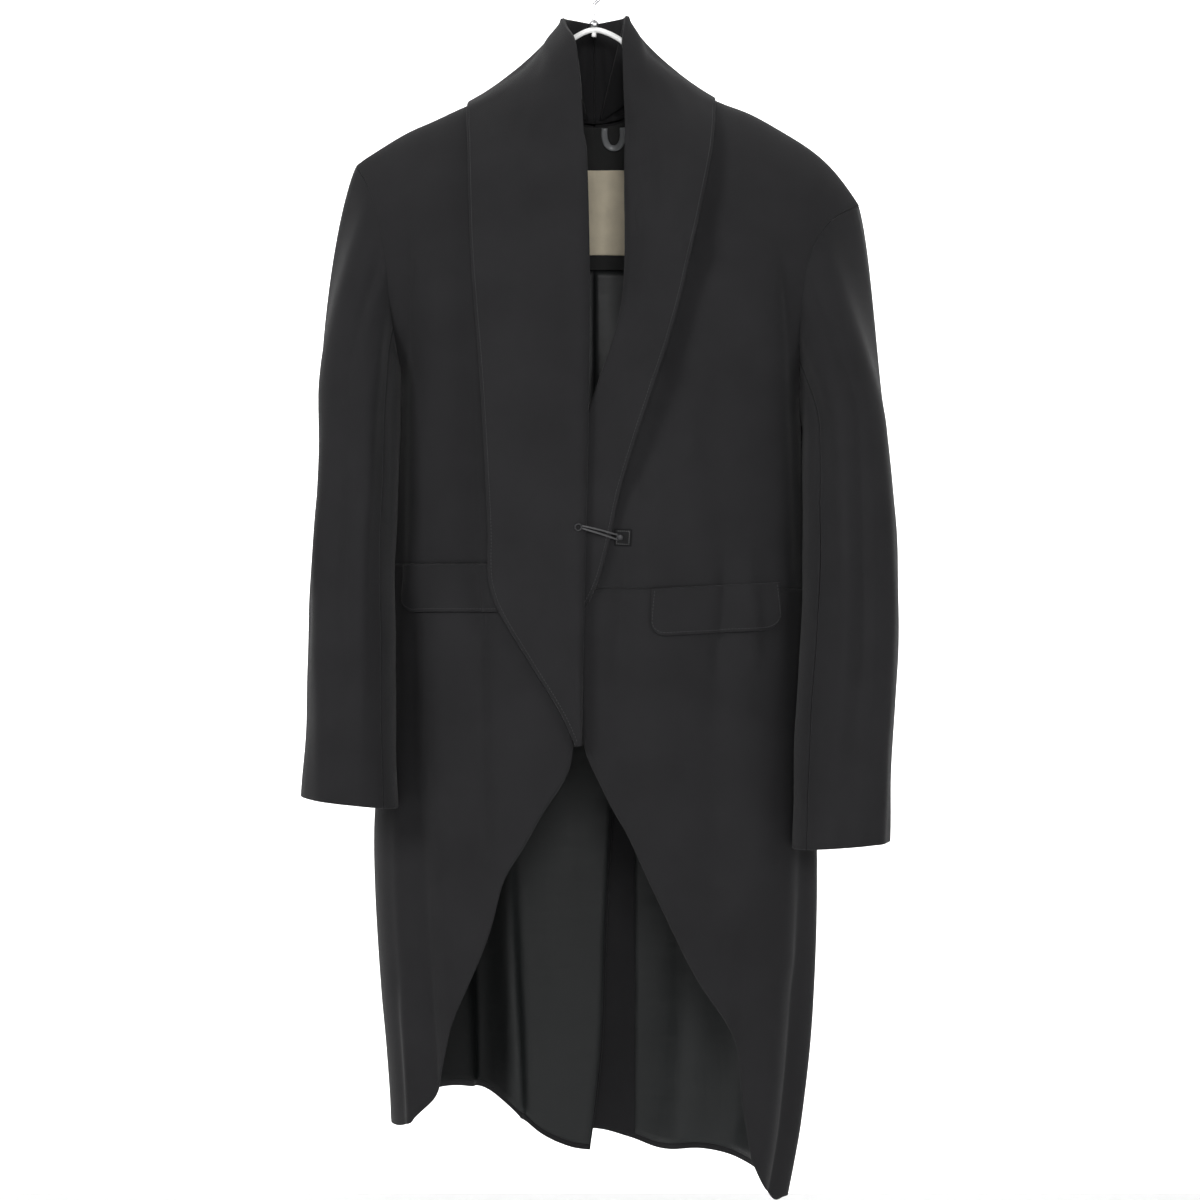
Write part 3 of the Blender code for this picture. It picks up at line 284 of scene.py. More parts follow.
# Soft troughs and ridges of the body, each along a line from one place to another.
CREASES = (
    # side, front, from x, drop, to x, drop, width, depth outwards
    (RIGHT, True, 150, 330, 162, 560, 11, 2.4),
    (RIGHT, True, 122, 380, 112, 640, 9, -3.9),
    (RIGHT, True, 178, 300, 184, 600, 8, -3.3),
    (RIGHT, True, 160, 200, 190, 300, 10, -2.1),
    (RIGHT, True, 145, 640, 140, 900, 12, 3.3),
    (RIGHT, True, 112, 640, 108, 850, 11, -4.5),
    (RIGHT, True, 172, 660, 176, 980, 10, -3.6),
    (LEFT, True, 72, 135, 50, 215, 20, -12.0),
    (LEFT, True, 50, 215, 22, 310, 16, -9.0),
    (LEFT, True, 122, 200, 103, 290, 11, -6.0),
    (LEFT, True, 99, 300, 73, 400, 10, -6.0),
    (LEFT, True, 66, 410, 44, 500, 9, -4.5),
    (LEFT, True, 150, 240, 190, 330, 14, -2.7),
    (LEFT, True, 160, 320, 166, 560, 16, 2.4),
    (LEFT, True, 120, 380, 128, 590, 15, -2.4),
    (LEFT, True, 186, 320, 194, 590, 9, -3.3),
    (LEFT, True, 90, 480, 60, 530, 9, 1.8),
    (LEFT, True, 34, 590, 22, 690, 10, -3.9),
    (LEFT, True, 128, 610, 122, 680, 8, -3.3),
    (LEFT, True, 146, 612, 150, 670, 8, 2.7),
    (LEFT, True, 176, 640, 184, 960, 12, 3),
    (LEFT, True, 120, 680, 118, 930, 18, -3.6),
    (RIGHT, False, 60, 300, 74, 560, 22, -2.4),
    (RIGHT, False, 150, 330, 120, 590, 16, 2.7),
    (RIGHT, False, 110, 560, 150, 700, 20, -2.7),
    (LEFT, False, 70, 320, 60, 600, 22, -2.7),
    (LEFT, False, 160, 340, 140, 600, 16, 2.7),
    (LEFT, False, 100, 600, 150, 740, 20, -2.7),
)

CREASE_STRETCH = 0.4  # how much softer a crease ends than it is wide

# Fullness of the body beside the sleeves.
FULLNESS = (
    # side, turn, width, from drop, to drop, depth outwards
    (RIGHT, 0.575, 0.034, 350, 780, 5.5),
    (RIGHT, 0.575, 0.040, 345, 560, 2.5),
    (LEFT, 0.575, 0.034, 370, 560, 8.0),
    (LEFT, 0.575, 0.040, 345, 480, 2.5),
)

# Painted shade on the lining in the right tail's recess, darkening its colour and shine: from X, to X in
# metres, and the share left there.
PAINTED_RECESS_SHADE = (-0.090, -0.080, 0.42)

# Swells of the hanging cloth: width across, height down and depth.
DRAPE = ((47.0, 420.0, 0.55), (71.0, 560.0, 0.9), (113.0, 730.0, 1.3))

SLEEVE = {
    RIGHT: Table(
        "drop  x  y  across  deep",
        (434, 226.4, -20, 37.3, 74),
        (510, 227, -36, 36.6, 69),
        (590, 231.2, -46, 37.8, 62),
        (665, 231.1, -59, 38.9, 55),
        (742, 231, -70, 39.9, 49),
        (822, 231.5, -79, 43.7, 45),
    ),
    LEFT: Table(
        "drop  x  y  across  deep",
        (462, 241.6, -22, 37.5, 74),
        (520, 243.8, -36, 40.7, 69),
        (600, 245.6, -46, 42.7, 62),
        (675, 243, -60, 44.2, 56),
        (755, 237.2, -71, 43.9, 50),
        (860, 233.5, -81, 43.7, 46),
    ),
}
FRONT_SLEEVE_SEAM = 0.385
BACK_SLEEVE_SEAM = 0.86
HEAD = Table(
    "turn  right  left  forward  down",
    (0.00, 56, 34, 0, 118),
    (0.25, 46, 46, 38, 105),
    (0.50, 2, 2, 0, 22),
    (0.75, 46, 46, -38, 105),
    (1.00, 56, 34, 0, 118),
)

# Creases of the sleeves: turns round the sleeve and shares of the way down to the cuff.
SLEEVE_CREASES = (
    # side, from turn, down, to turn, down, width as a turn, depth outwards
    (RIGHT, 0.48, 0.16, 0.48, 0.60, 0.080, 2.5),
    (LEFT, 0.48, 0.16, 0.48, 0.46, 0.080, 2.5),
    (RIGHT, 0.10, 0.05, 0.13, 0.50, 0.040, 2.7),
    (RIGHT, 0.22, 0.10, 0.25, 0.62, 0.035, -3.6),
    (RIGHT, 0.33, 0.22, 0.30, 0.70, 0.030, 2.7),
    (RIGHT, 0.02, 0.30, 0.05, 0.62, 0.035, -2.4),
    (RIGHT, 0.42, 0.40, 0.20, 0.60, 0.030, -2.7),
    (RIGHT, 0.14, 0.66, 0.18, 0.97, 0.035, 2.7),
    (RIGHT, 0.75, 0.20, 0.72, 0.60, 0.050, -3.3),
    (RIGHT, 0.55, 0.45, 0.80, 0.58, 0.040, -3),
    (LEFT, 0.09, 0.06, 0.12, 0.46, 0.040, 2.7),
    (LEFT, 0.20, 0.08, 0.23, 0.55, 0.035, -3.6),
    (LEFT, 0.31, 0.20, 0.27, 0.62, 0.032, 2.7),
    (LEFT, 0.40, 0.34, 0.16, 0.52, 0.030, -2.7),
    (LEFT, 0.36, 0.52, 0.10, 0.66, 0.028, -2.4),
    (LEFT, 0.10, 0.72, 0.12, 0.97, 0.030, 3.3),
    (LEFT, 0.22, 0.68, 0.25, 0.97, 0.035, -2.7),
    (LEFT, 0.75, 0.20, 0.70, 0.62, 0.050, -3.3),
    (LEFT, 0.55, 0.48, 0.82, 0.60, 0.040, -3),
)

COLLAR = {
    RIGHT: Table(
        "station  seam  roll_x  roll_y  roll_drop  edge_x  edge_y  edge_drop",
        (0, -1.00, 0, 47, 61, 0, 74, 176),
        (1, -0.70, 15, 43, 58.5, 50, 66, 171),
        (2, -0.40, 25, 31, 58.5, 84, 48, 161),
        (3, -0.18, 29.5, 16, 60.5, 106, 29, 151),
        (4, 0.00, 30, 1, 64, 119.5, 2, 143),
        (5, 14.00, 27, -20, 75, 121, -28, 163),
        (6, 36.00, 20, -42, 90, 119, -48, 195),
        (7, 66.00, 14.5, -60, 122, 117.5, -66, 236),
        (8, 112.00, 10, -76, 172, 115.5, -80, 290),
        (9, 177.00, 7, -88, 245, 112, -90, 345),
        (10, 257.00, 5.5, -98, 340, 107, -92, 410),
        (11, 337.00, 6.5, -98, 430, 102.5, -90, 488),
        (12, 407.00, 8, -98, 515, 99, -90, 560),
        (13, 477.00, 10, -98, 600, 96.5, -88, 620),
        (14, 547.00, 11.5, -98, 672, 62, -92, 681),
        (15, 602.00, 12.5, -98, 727, 32, -96, 730),
        (16, 640.00, 13, -98, 762, 17, -96, 763),
    ),
    LEFT: Table(
        "station  seam  roll_x  roll_y  roll_drop  edge_x  edge_y  edge_drop",
        (0, -1.00, 0, 47, 61, 0, 74, 176),
        (1, -0.70, 15, 43, 58.5, 48, 66, 170),
        (2, -0.40, 26, 31, 58, 80, 48, 159),
        (3, -0.18, 31, 16, 59, 101, 29, 148.5),
        (4, 0.00, 32, 1, 61.5, 115, 2, 139),
        (5, 14.00, 30, -17, 74, 115, -27, 160),
        (6, 36.00, 27.5, -33, 92, 112, -46, 192),
        (7, 66.00, 28, -46, 124, 107, -62, 222),
        (8, 106.00, 29.5, -58, 170, 99, -74, 262),
        (9, 156.00, 30.3, -70, 232, 90, -84, 306),
        (10, 216.00, 31, -84, 296, 80, -90, 348),
        (11, 271.00, 27.5, -92, 350, 68, -92, 390),
        (12, 321.00, 14, -94, 398, 54.5, -94, 431),
        (13, 376.00, -4, -94, 449, 39, -94, 478),
        (14, 421.00, -16.5, -94, 495, 25, -94, 524),
        (15, 471.00, -22, -94, 548, 14.5, -94, 572),
        (16, 516.00, -20, -94, 598, 4, -94, 610),
        (17, 548.00, -15, -94, 634, -9, -94, 636),
    ),
}
COLLAR_LIES = {RIGHT: 6.2, LEFT: 3.4}  # from the form out to the underside of the fall
COLLAR_SAG = Table("station  out", (0, 2), (2, -5), (3, -11), (4, -14.5), (5, -11), (7, -3), (10, 0))
ROLL_OUT = {RIGHT: 3.3, LEFT: 2.6}  # the roll's place between the panel and the fall
FALL_ACROSS = (0.06, 0.20, 0.36, 0.54, 0.72, 0.87, 1.0)
FALL_CLEAR = 4.6  # between the undersides of the stand and the fall, round the neck
LEG_ACROSS = (0.0, 0.33, 0.67)

# How much further the collar's outer edge stands off the chest.
EDGE_LIFT = {
    RIGHT: Table("station  out", (5, 0), (8, 6), (11, 8), (13, 5), (14, 1.5), (16, 0)),
    LEFT: Table("station  out", (5, 0), (7, 7), (10, 11), (13, 9), (15, 3), (17, 0)),
}

# How much further back the left collar's roll sinks into the open neck, so that its fall creases
# over the front's edge.
ROLL_SINKS = {
    RIGHT: Table("station  back", (0, 0), (16, 0)),
    LEFT: Table(
        "station  back",
        (4, 0),
        (5, 6),
        (6, 11),
        (7, 16),
        (8, 19),
        (9, 17),
        (10, 9),
        (11, 3),
        (12, 0),
        (17, 0),
    ),
}

FLAP_HIGH = 45.0
FLAP_CORNER = 13.0
FLAPS = {
    # side: inner x, outer x, top at the inner end, top at the outer end
    RIGHT: (62.0, 182.0, 592.0, 592.0),
    LEFT: (53.0, 173.0, 615.0, 609.0),
}
LABEL = (-23.0, 39.0, 198.0, 281.0)  # from x to x, from drop to drop
FACING_HALF = 60.0

CUFF_BUTTONS = 4
BUTTON_RADIUS = 6.5
BUTTON_THICK = 2.6
BUTTON_LIFT = 0.85  # the length of its thread
BUTTON_PITCH = 14.0
BUTTON_FROM_HEM = 22.0
BUTTON_TURN = 0.925

TAB = (20.0, 36.0, 559.0, 574.5)  # from x to x, from drop to drop
TAB_THICK = 1.6
KNOB = (25.0, 566.5)
EYELET = (14.5, 557.5)  # on the right collar, near its roll
EYELET_RADIUS = 3.0
EYELET_WIRE = 0.8
CORD_RADIUS = 0.8
CORD_APART = 1.2  # half the distance between its two strands at the eyelet
CORD_BOWS = 1.5  # how far it bows off the cloth
KNOB_NECK = 1.4
KNOB_PROFILE = ((KNOB_NECK, 0.0), (KNOB_NECK, 2.2), (2.9, 2.6), (3.1, 3.4), (2.6, 4.2), (1.2, 4.6))

LOOP_RADIUS = 1.3
LOOP_SPREAD = 2.4  # the loop is a flat tape: half its width over that radius
LOOP_FLAT = 0.25  # its thickness over its width
LOOP_ROUTE = (
    (11, 158.5),
    (11, 166),
    (12.5, 172),
    (16, 176),
    (20, 177),
    (24, 176),
    (27.5, 172),
    (29, 166),
    (29, 158),
)
WIRE_RADIUS = 1.6
HOOK_RADIUS = 20.0  # inside the hook's curve
NUT_TOP = 64.5
STEM = ((0, NUT_TOP - SEAM), (0, 54.0), (0.8, 47.0))  # from the nut up to the hook's curve
NUT_HIGH = 5.0
ROD_RADIUS = 2.6
ROD_CLEAR = 1.2  # from the rod to the cloth that hangs on it
ROD_START = 72.0
ROD_END = {RIGHT: 216.0, LEFT: 240.0}
ARCH_TOP = 72.6  # the hanger's rod where it passes under the nut
ARCH = {
    RIGHT: ((16, 78.5), (30, 89), (41, 103.5), (49, 117), (56, 126.5)),
    LEFT: ((17, 77.5), (31, 87), (42, 102), (49, 115), (56, 124)),
}
HOOK_TURNS = (-62, 202)  # degrees round the hook's curve, from and to
NUT_RADIUS = 4.3
BOLT_RADIUS = 2.2
BOLT_HIGH = 4.0

# The photograph's frame, as a camera sees the plane of the hook
PHOTO_PIXELS = 1200
PIXEL = 0.97  # millimetres to a pixel in that plane
HOOK_ABOVE_FRAME = 45  # pixels
HOOK_FROM_LEFT = 594  # pixels
CAMERA_AWAY = 3000.0

BACKDROP_LIGHT = 1.0
BACKDROP_FROM = 1.1  # the cove is lit from this far behind the jacket, in metres
ROOM_LIGHT = 0.12
LAMPS = (
    # name, place, looks at, size, power
    ("key", (-2.3, -2.2, 0.7), (0.0, 0.0, -0.6), 0.9, 62.0),
    ("fill", (2.4, -2.3, 0.1), (0.0, 0.0, -0.7), 1.2, 34.0),
    ("front", (0.1, -3.3, 0.1), (0.0, 0.0, -0.5), 0.7, 48.0),
    ("top", (0.1, 0.2, 1.9), (0.0, 0.0, -0.3), 1.6, 22.0),
)


# ---- the form -------------------------------------------------------------------------------------


def rounded(value, exponent):
    """A sine or cosine on a ring of the given roundness."""
    return np.copysign(np.abs(value) ** (2.0 / exponent), value)


def smooth(start, end, value):
    """0 before start, 1 after end, and a soft step between them."""
    f = np.clip((value - start) / (end - start), 0.0, 1.0)
    return f * f * (3.0 - 2.0 * f)


@functools.lru_cache(maxsize=None)
def ridge_table(side):
    """The shoulder ridge's drop against how far out a place on the rings is."""
    across = np.linspace(0.0, 1.0, 400)
    drop = np.full_like(across, float(SLEEVE_TIP[side]))
    for _ in range(40):
        x = RINGS.at(SIDE_NAME[side], drop) * across
        drop += 0.6 * (RIDGE.at(SIDE_NAME[side], x) - drop)
    return across, drop


def ridge_drop(side, turn):
    across = np.abs(rounded(np.sin(math.pi * turn), ROUNDNESS))
    return np.interp(across, *ridge_table(side))


def ridge_drop_there(here, turn):
    return np.where(here == RIGHT, ridge_drop(RIGHT, turn), ridge_drop(LEFT, turn))


def shoulder(below):
    """The share of its depth that the form has at a distance below the ridge."""
    up = 1.0 - np.clip(below / SHOULDER_FALL, 0.0, 1.0)
    return (1.0 - up**SHOULDER_ROUNDNESS) ** (1.0 / SHOULDER_ROUNDNESS)


def from_line(x, y, line):
    """The distance of places from a line between two places."""
    from_x, from_y, to_x, to_y = line
    way_x, way_y = to_x - from_x, to_y - from_y
    share = ((x - from_x) * way_x + (y - from_y) * way_y) / (way_x**2 + way_y**2)
    share = np.clip(share, 0.0, 1.0)
    return np.hypot(x - from_x - share * way_x, y - from_y - share * way_y)


def fullness(here, turn, drop):
    """The body's fullness behind the sleeves, just to the back of the side seam."""
    total = np.zeros_like(drop)
    for side, middle, width, start, end, depth in FULLNESS:
        there = smooth(start - 50.0, start + 30.0, drop) * (1.0 - smooth(end - 30.0, end + 60.0, drop))
        total += (here == side) * depth * there * np.exp(-(((turn - middle) / width) ** 2))
    return total


def drape(across, drop, phase):
    """Soft, uneven swells of hanging cloth, long down the cloth and narrow across it."""
    total = np.zeros_like(drop)
    for k, (width, height, depth) in enumerate(DRAPE):
        lean = 0.35 * np.sin(drop / height * 1.7 + phase + k)
        swell = np.sin(2 * math.pi * (across / width + lean) + 2.4 * k + phase)
        total += depth * swell * (0.6 + 0.4 * np.sin(2 * math.pi * drop / height + 1.9 * k + phase))
    return total


def folds_and_creases(here, turn, drop, front, x):
    """How far the cloth's own folds move the form outwards."""
    free = smooth(30.0, 160.0, drop - ridge_drop_there(here, turn))
    total = drape(x, drop, np.where(front, 0.0, 1.3)) * free + fullness(here, turn, drop)
    for side, middle, width, start, depth in FOLDS:
        grown = smooth(0.0, FOLD_GROWTH, drop - start)
        total += (here == side) * depth * grown * np.exp(-(((turn - middle) / width) ** 2))
    for side, on_front, from_x, from_drop, to_x, to_drop, width, depth in CREASES:
        line = (from_x, from_drop * CREASE_STRETCH, to_x, to_drop * CREASE_STRETCH)
        far = from_line(np.abs(x), drop * CREASE_STRETCH, line)
        total += ((here == side) & (front == on_front)) * depth * np.exp(-((far / width) ** 2))
    return total


def form(side, turn, drop):
    """Points of the form. side is the panel's own side, which it keeps past the centre line."""
    turn, drop = np.broadcast_arrays(np.asarray(turn, float), np.asarray(drop, float))
    sine, cosine = np.sin(math.pi * turn), np.cos(math.pi * turn)
    here = np.where(sine >= 0, side, -side)
    front = cosine > 0
    wide = np.where(here == RIGHT, RINGS.at("right", drop), RINGS.at("left", drop))
    x = here * wide * np.abs(rounded(sine, ROUNDNESS))
    deep = np.where(front, RINGS.at("front", drop), RINGS.at("back", drop))
    ridge = ridge_drop_there(here, turn)
    y = -deep * rounded(cosine, ROUNDNESS) * shoulder(drop - ridge)
    ring_turn = np.where(turn < 1, np.abs(turn), 2 - turn)
    out = folds_and_creases(here, ring_turn, drop, front, x)
    length = np.maximum(np.hypot(x, y), 1.0)
    x, y = x * (1 + out / length), y * (1 + out / length)
    if side == RIGHT:
        near = 1.0 - smooth(45.0, 128.0, -x)
        y = y - front * WRAP * near * smooth(200.0, 380.0, drop) * (1.0 - smooth(780.0, 960.0, drop))
    else:
        wrap = VENT_WRAP * (1.0 - smooth(34.0, 70.0, x)) * smooth(VENT_TOP - 80.0, VENT_TOP, drop)
        y = y + ~front * wrap
    y = y + np.where(turn <= 0.5, -SEAM / 2, SEAM / 2)
    return np.stack([x, y, -drop], axis=-1)


def unit(vectors):
    return vectors / np.maximum(np.linalg.norm(vectors, axis=-1, keepdims=True), 1e-12)


def form_normal(side, turn, drop):
    """The form's outward directions."""
    turn, drop = np.broadcast_arrays(np.asarray(turn, float), np.asarray(drop, float))
    step, fall = 0.002, 1.5
    ahead = np.where((turn <= 0.5) & (turn > 0.5 - step), 0.0, step)
    behind = np.where((turn > 0.5) & (turn < 0.5 + step), 0.0, step)
    round_it = form(side, turn + ahead, drop) - form(side, turn - behind, drop)
    down_it = form(side, turn, drop + fall) - form(side, turn, drop - fall)
    out = unit(np.cross(round_it, down_it))
    flat = form(side, turn, drop)
    near_ridge = drop < ridge_drop(side, turn) + 5
    away = np.stack([flat[..., 0], flat[..., 1], np.where(near_ridge, 60.0, 0.0)], axis=-1)
    return out * np.sign((out * away).sum(axis=-1, keepdims=True))


def turn_at(side, x, drop, front=True):
    """The place on the ring at a distance x to the side, on the front half or the back half."""
    x, drop = np.broadcast_arrays(np.asarray(x, float), np.asarray(drop, float))
    own, other = SIDE_NAME[side], SIDE_NAME[-side]
    wide = np.where(x >= 0, RINGS.at(own, drop), RINGS.at(other, drop))
    share = np.minimum(np.abs(x) / wide, 1.0) ** (ROUNDNESS / 2.0)
    turn = np.copysign(np.arcsin(share) / math.pi, x)
    return turn if front else 1.0 - turn


def on_form(side, turn, drop, out=0.0):
    return form(side, turn, drop) + form_normal(side, turn, drop) * np.asarray(out)[..., None]


def at_front(side, x, drop, out=0.0):
    return on_form(side, turn_at(side, x, drop), drop, out)


def crossing(side, edge_x, drop_at, front, count):
    """The turns where the rows of a panel meet its edge."""
    low, high = np.full(count, -60.0), np.full(count, 300.0)
    for _ in range(36):
        x = (low + high) / 2
        drop = drop_at(turn_at(side, x, LEVEL_OF_TIPS, front))
        for _ in range(2):
            drop = drop_at(turn_at(side, x, drop, front))
        outside = x > edge_x(drop)
        high, low = np.where(outside, x, high), np.where(outside, low, x)
    return turn_at(side, (low + high) / 2, drop, front)


def panel(side, front, top, bottom, inner, outer, rows, columns):
    """Turns and drops of a panel's grid.

    top and bottom give a drop for a turn. inner and outer give a distance to the side for a drop.
    rows and columns are shares of the way from top to bottom and from inner to outer.
    """

    def drop_at(turn, share=rows):
        return top(turn) + (bottom(turn) - top(turn)) * share

    start = crossing(side, inner, drop_at, front, len(rows))[:, None]
    end = crossing(side, outer, drop_at, front, len(rows))[:, None]
    turn = start + (end - start) * columns[None, :]
    return turn, drop_at(turn, rows[:, None])


def armhole_x(side):
    """The outer edge of a body panel: the armhole, and below the armpit the side seam."""
    tip, pit = SLEEVE_TIP[side], ARMPIT[side]

    def edge(drop):
        way = np.clip((drop - tip) / (pit - tip), 0.0, 1.0)
        return np.where(drop >= pit, RINGS.at(SIDE_NAME[side], drop), ARMHOLE.at(SIDE_NAME[side], way))

    return edge


def neck_drop(x):
    """The back neckline, a quarter of an ellipse on each side."""
    return NECK_SIDE + NECK_BACK_DEEP * np.sqrt(np.maximum(1.0 - (x / NECK_HALF) ** 2, 0.0))


def back_inner_x(side):
    """The inner edge of a back panel: neckline, centre seam and vent."""

    def edge(drop):
        dip = np.clip((drop - NECK_SIDE) / NECK_BACK_DEEP, 0.0, 1.0)
        neckline = NECK_HALF * np.sqrt(1.0 - dip**2)
        below = np.where(drop < VENT_TOP, SEAM / 2, -VENT_EDGE[side].at("x", drop))
        return np.where(dip < 1.0, neckline, below)

    return edge


def hem_at(side, table):
    return lambda turn: table[side].at("drop", side * form(side, turn, LEVEL_OF_HEM)[..., 0])


def ridge_at(side):
    return lambda turn: ridge_drop(side, turn)


def level(drop):
    return lambda turn: np.full_like(turn, float(drop))


def even(count):
    return np.linspace(0.0, 1.0, count)


SURFACES = {}  # the points, outward directions and thickness of each sheet of cloth


# ---- meshes ---------------------------------------------------------------------------------------


def in_scene(name, data):
    made = bpy.data.objects.new(name, data)
    bpy.context.scene.collection.objects.link(made)
    return made


def smooth_mesh(name, points, faces):
    """A mesh from points in millimetres."""
    mesh = bpy.data.meshes.new(name)
    mesh.from_pydata((np.asarray(points) * MM).tolist(), [], faces)
    mesh.shade_smooth()
    return mesh


def tube_faces(count, sides, ends=True):
    """The faces between rings of points, and the two that close them."""
    ids = np.arange(count).reshape(-1, sides)
    beside = np.roll(ids, -1, axis=1)
    faces = np.stack([ids[:-1], beside[:-1], beside[1:], ids[1:]], axis=-1).reshape(-1, 4).tolist()
    return faces + [ids[0][::-1].tolist(), ids[-1].tolist()] if ends else faces


def new_object(name, mesh, material, *replaced):
    """A piece that rides on the part's only body, in place of its plain solids."""
    made = in_scene(name, mesh)
    mesh.materials.append(material)
    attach(made, "root")
    if replaced:
        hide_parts(*replaced)
    return made


def shell(name, points, normals, thickness, material, *replaced):
    """A closed wall of cloth with a rounded rim: the grid of points, and the same grid moved out."""
    SURFACES[name] = points, normals, thickness
    count, across = points.shape[:2]
    inner, outer = points.copy(), points + normals * thickness
    draw = 0.35 * thickness
    for layer in (inner, outer):  # the folded edge turns over, so both faces stop short of the rim
        layer[0] += unit(layer[1] - layer[0]) * draw
        layer[-1] += unit(layer[-2] - layer[-1]) * draw
        layer[:, 0] += unit(layer[:, 1] - layer[:, 0]) * draw
        layer[:, -1] += unit(layer[:, -2] - layer[:, -1]) * draw
    ids = np.arange(count * across).reshape(count, across)
    round_it = np.concatenate([ids[0, :-1], ids[:-1, -1], ids[-1, :0:-1], ids[:0:-1, 0]])
    middle = (points + normals * thickness / 2).reshape(-1, 3)[round_it]
    total, rim = count * across, len(round_it)
    corners = np.stack([ids[:-1, :-1], ids[:-1, 1:], ids[1:, 1:], ids[1:, :-1]], axis=-1).reshape(-1, 4)
    after = np.roll(np.arange(rim), -1)
    rim_ids = 2 * total + np.arange(rim)
    low = np.stack([round_it, round_it[after], rim_ids[after], rim_ids], axis=-1)
    high = np.stack([rim_ids, rim_ids[after], round_it[after] + total, round_it + total], axis=-1)
    faces = np.concatenate([corners[:, ::-1], corners + total, low, high])
    vertices = np.concatenate([inner.reshape(-1, 3), outer.reshape(-1, 3), middle])
    return cloth_object(name, vertices, faces, cloth_uv(points, round_it), material, *replaced)


def cloth_uv(points, round_it):
    """The weave's own place for each vertex, in metres along and across the cloth."""
    across = np.linalg.norm(np.diff(points, axis=1), axis=-1)
    along = np.linalg.norm(np.diff(points, axis=0), axis=-1)
    u = np.concatenate([np.zeros((len(points), 1)), np.cumsum(across, axis=1)], axis=1)
    v = np.concatenate([np.zeros((1, points.shape[1])), np.cumsum(along, axis=0)], axis=0)
    flat = np.stack([u, -v], axis=-1).reshape(-1, 2) * MM
    return np.concatenate([flat, flat, flat[round_it]])


def cloth_object(name, vertices, faces, uv, material, *replaced):
    mesh = bpy.data.meshes.new(name)
    a, b, c, d = (vertices[faces[:, k]] for k in range(4))
    volume = (a * np.cross(b, c)).sum() + (a * np.cross(c, d)).sum()
    if volume < 0:
        faces = faces[:, ::-1]
    mesh.vertices.add(len(vertices))
    mesh.vertices.foreach_set("co", (vertices * MM).ravel())
    mesh.loops.add(faces.size)
    mesh.loops.foreach_set("vertex_index", faces.ravel())
    mesh.polygons.add(len(faces))
    mesh.polygons.foreach_set("loop_start", np.arange(0, faces.size, 4))
    layer = mesh.uv_layers.new(name="cloth")
    layer.data.foreach_set("uv", uv[faces.ravel()].ravel())
    mesh.update(calc_edges=True)
    mesh.validate()
    mesh.shade_smooth()
    return new_object(name, mesh, material, *replaced)


def grid_normals(points):
    """Directions square to a grid of points, from each point's neighbours."""
    along = np.gradient(points, axis=0)
    across = np.gradient(points, axis=1)
    return unit(np.cross(along, across))


def tube(name, centres, radius, material, *replaced, sides=10, flat=1.0, ends=True, up=(0, -1, 0)):
    """A rod along points. flat is its thickness as a share of its width, measured along up."""
    centres = np.asarray(centres, float)
    radius = np.broadcast_to(np.asarray(radius, float), (len(centres),))
    along = unit(np.gradient(centres, axis=0))
    side = unit(np.cross(along, np.asarray(up, float)[None]))
    top = unit(np.cross(side, along))
    angles = np.linspace(0, 2 * math.pi, sides, endpoint=False)
    wide, high = np.cos(angles)[None, :, None], (flat * np.sin(angles))[None, :, None]
    ring = side[:, None] * wide + top[:, None] * high
    points = (centres[:, None] + ring * radius[:, None, None]).reshape(-1, 3)
    mesh = smooth_mesh(name, points, tube_faces(len(points), sides, ends))
    return new_object(name, mesh, material, *replaced)


# ---- materials ------------------------------------------------------------------------------------


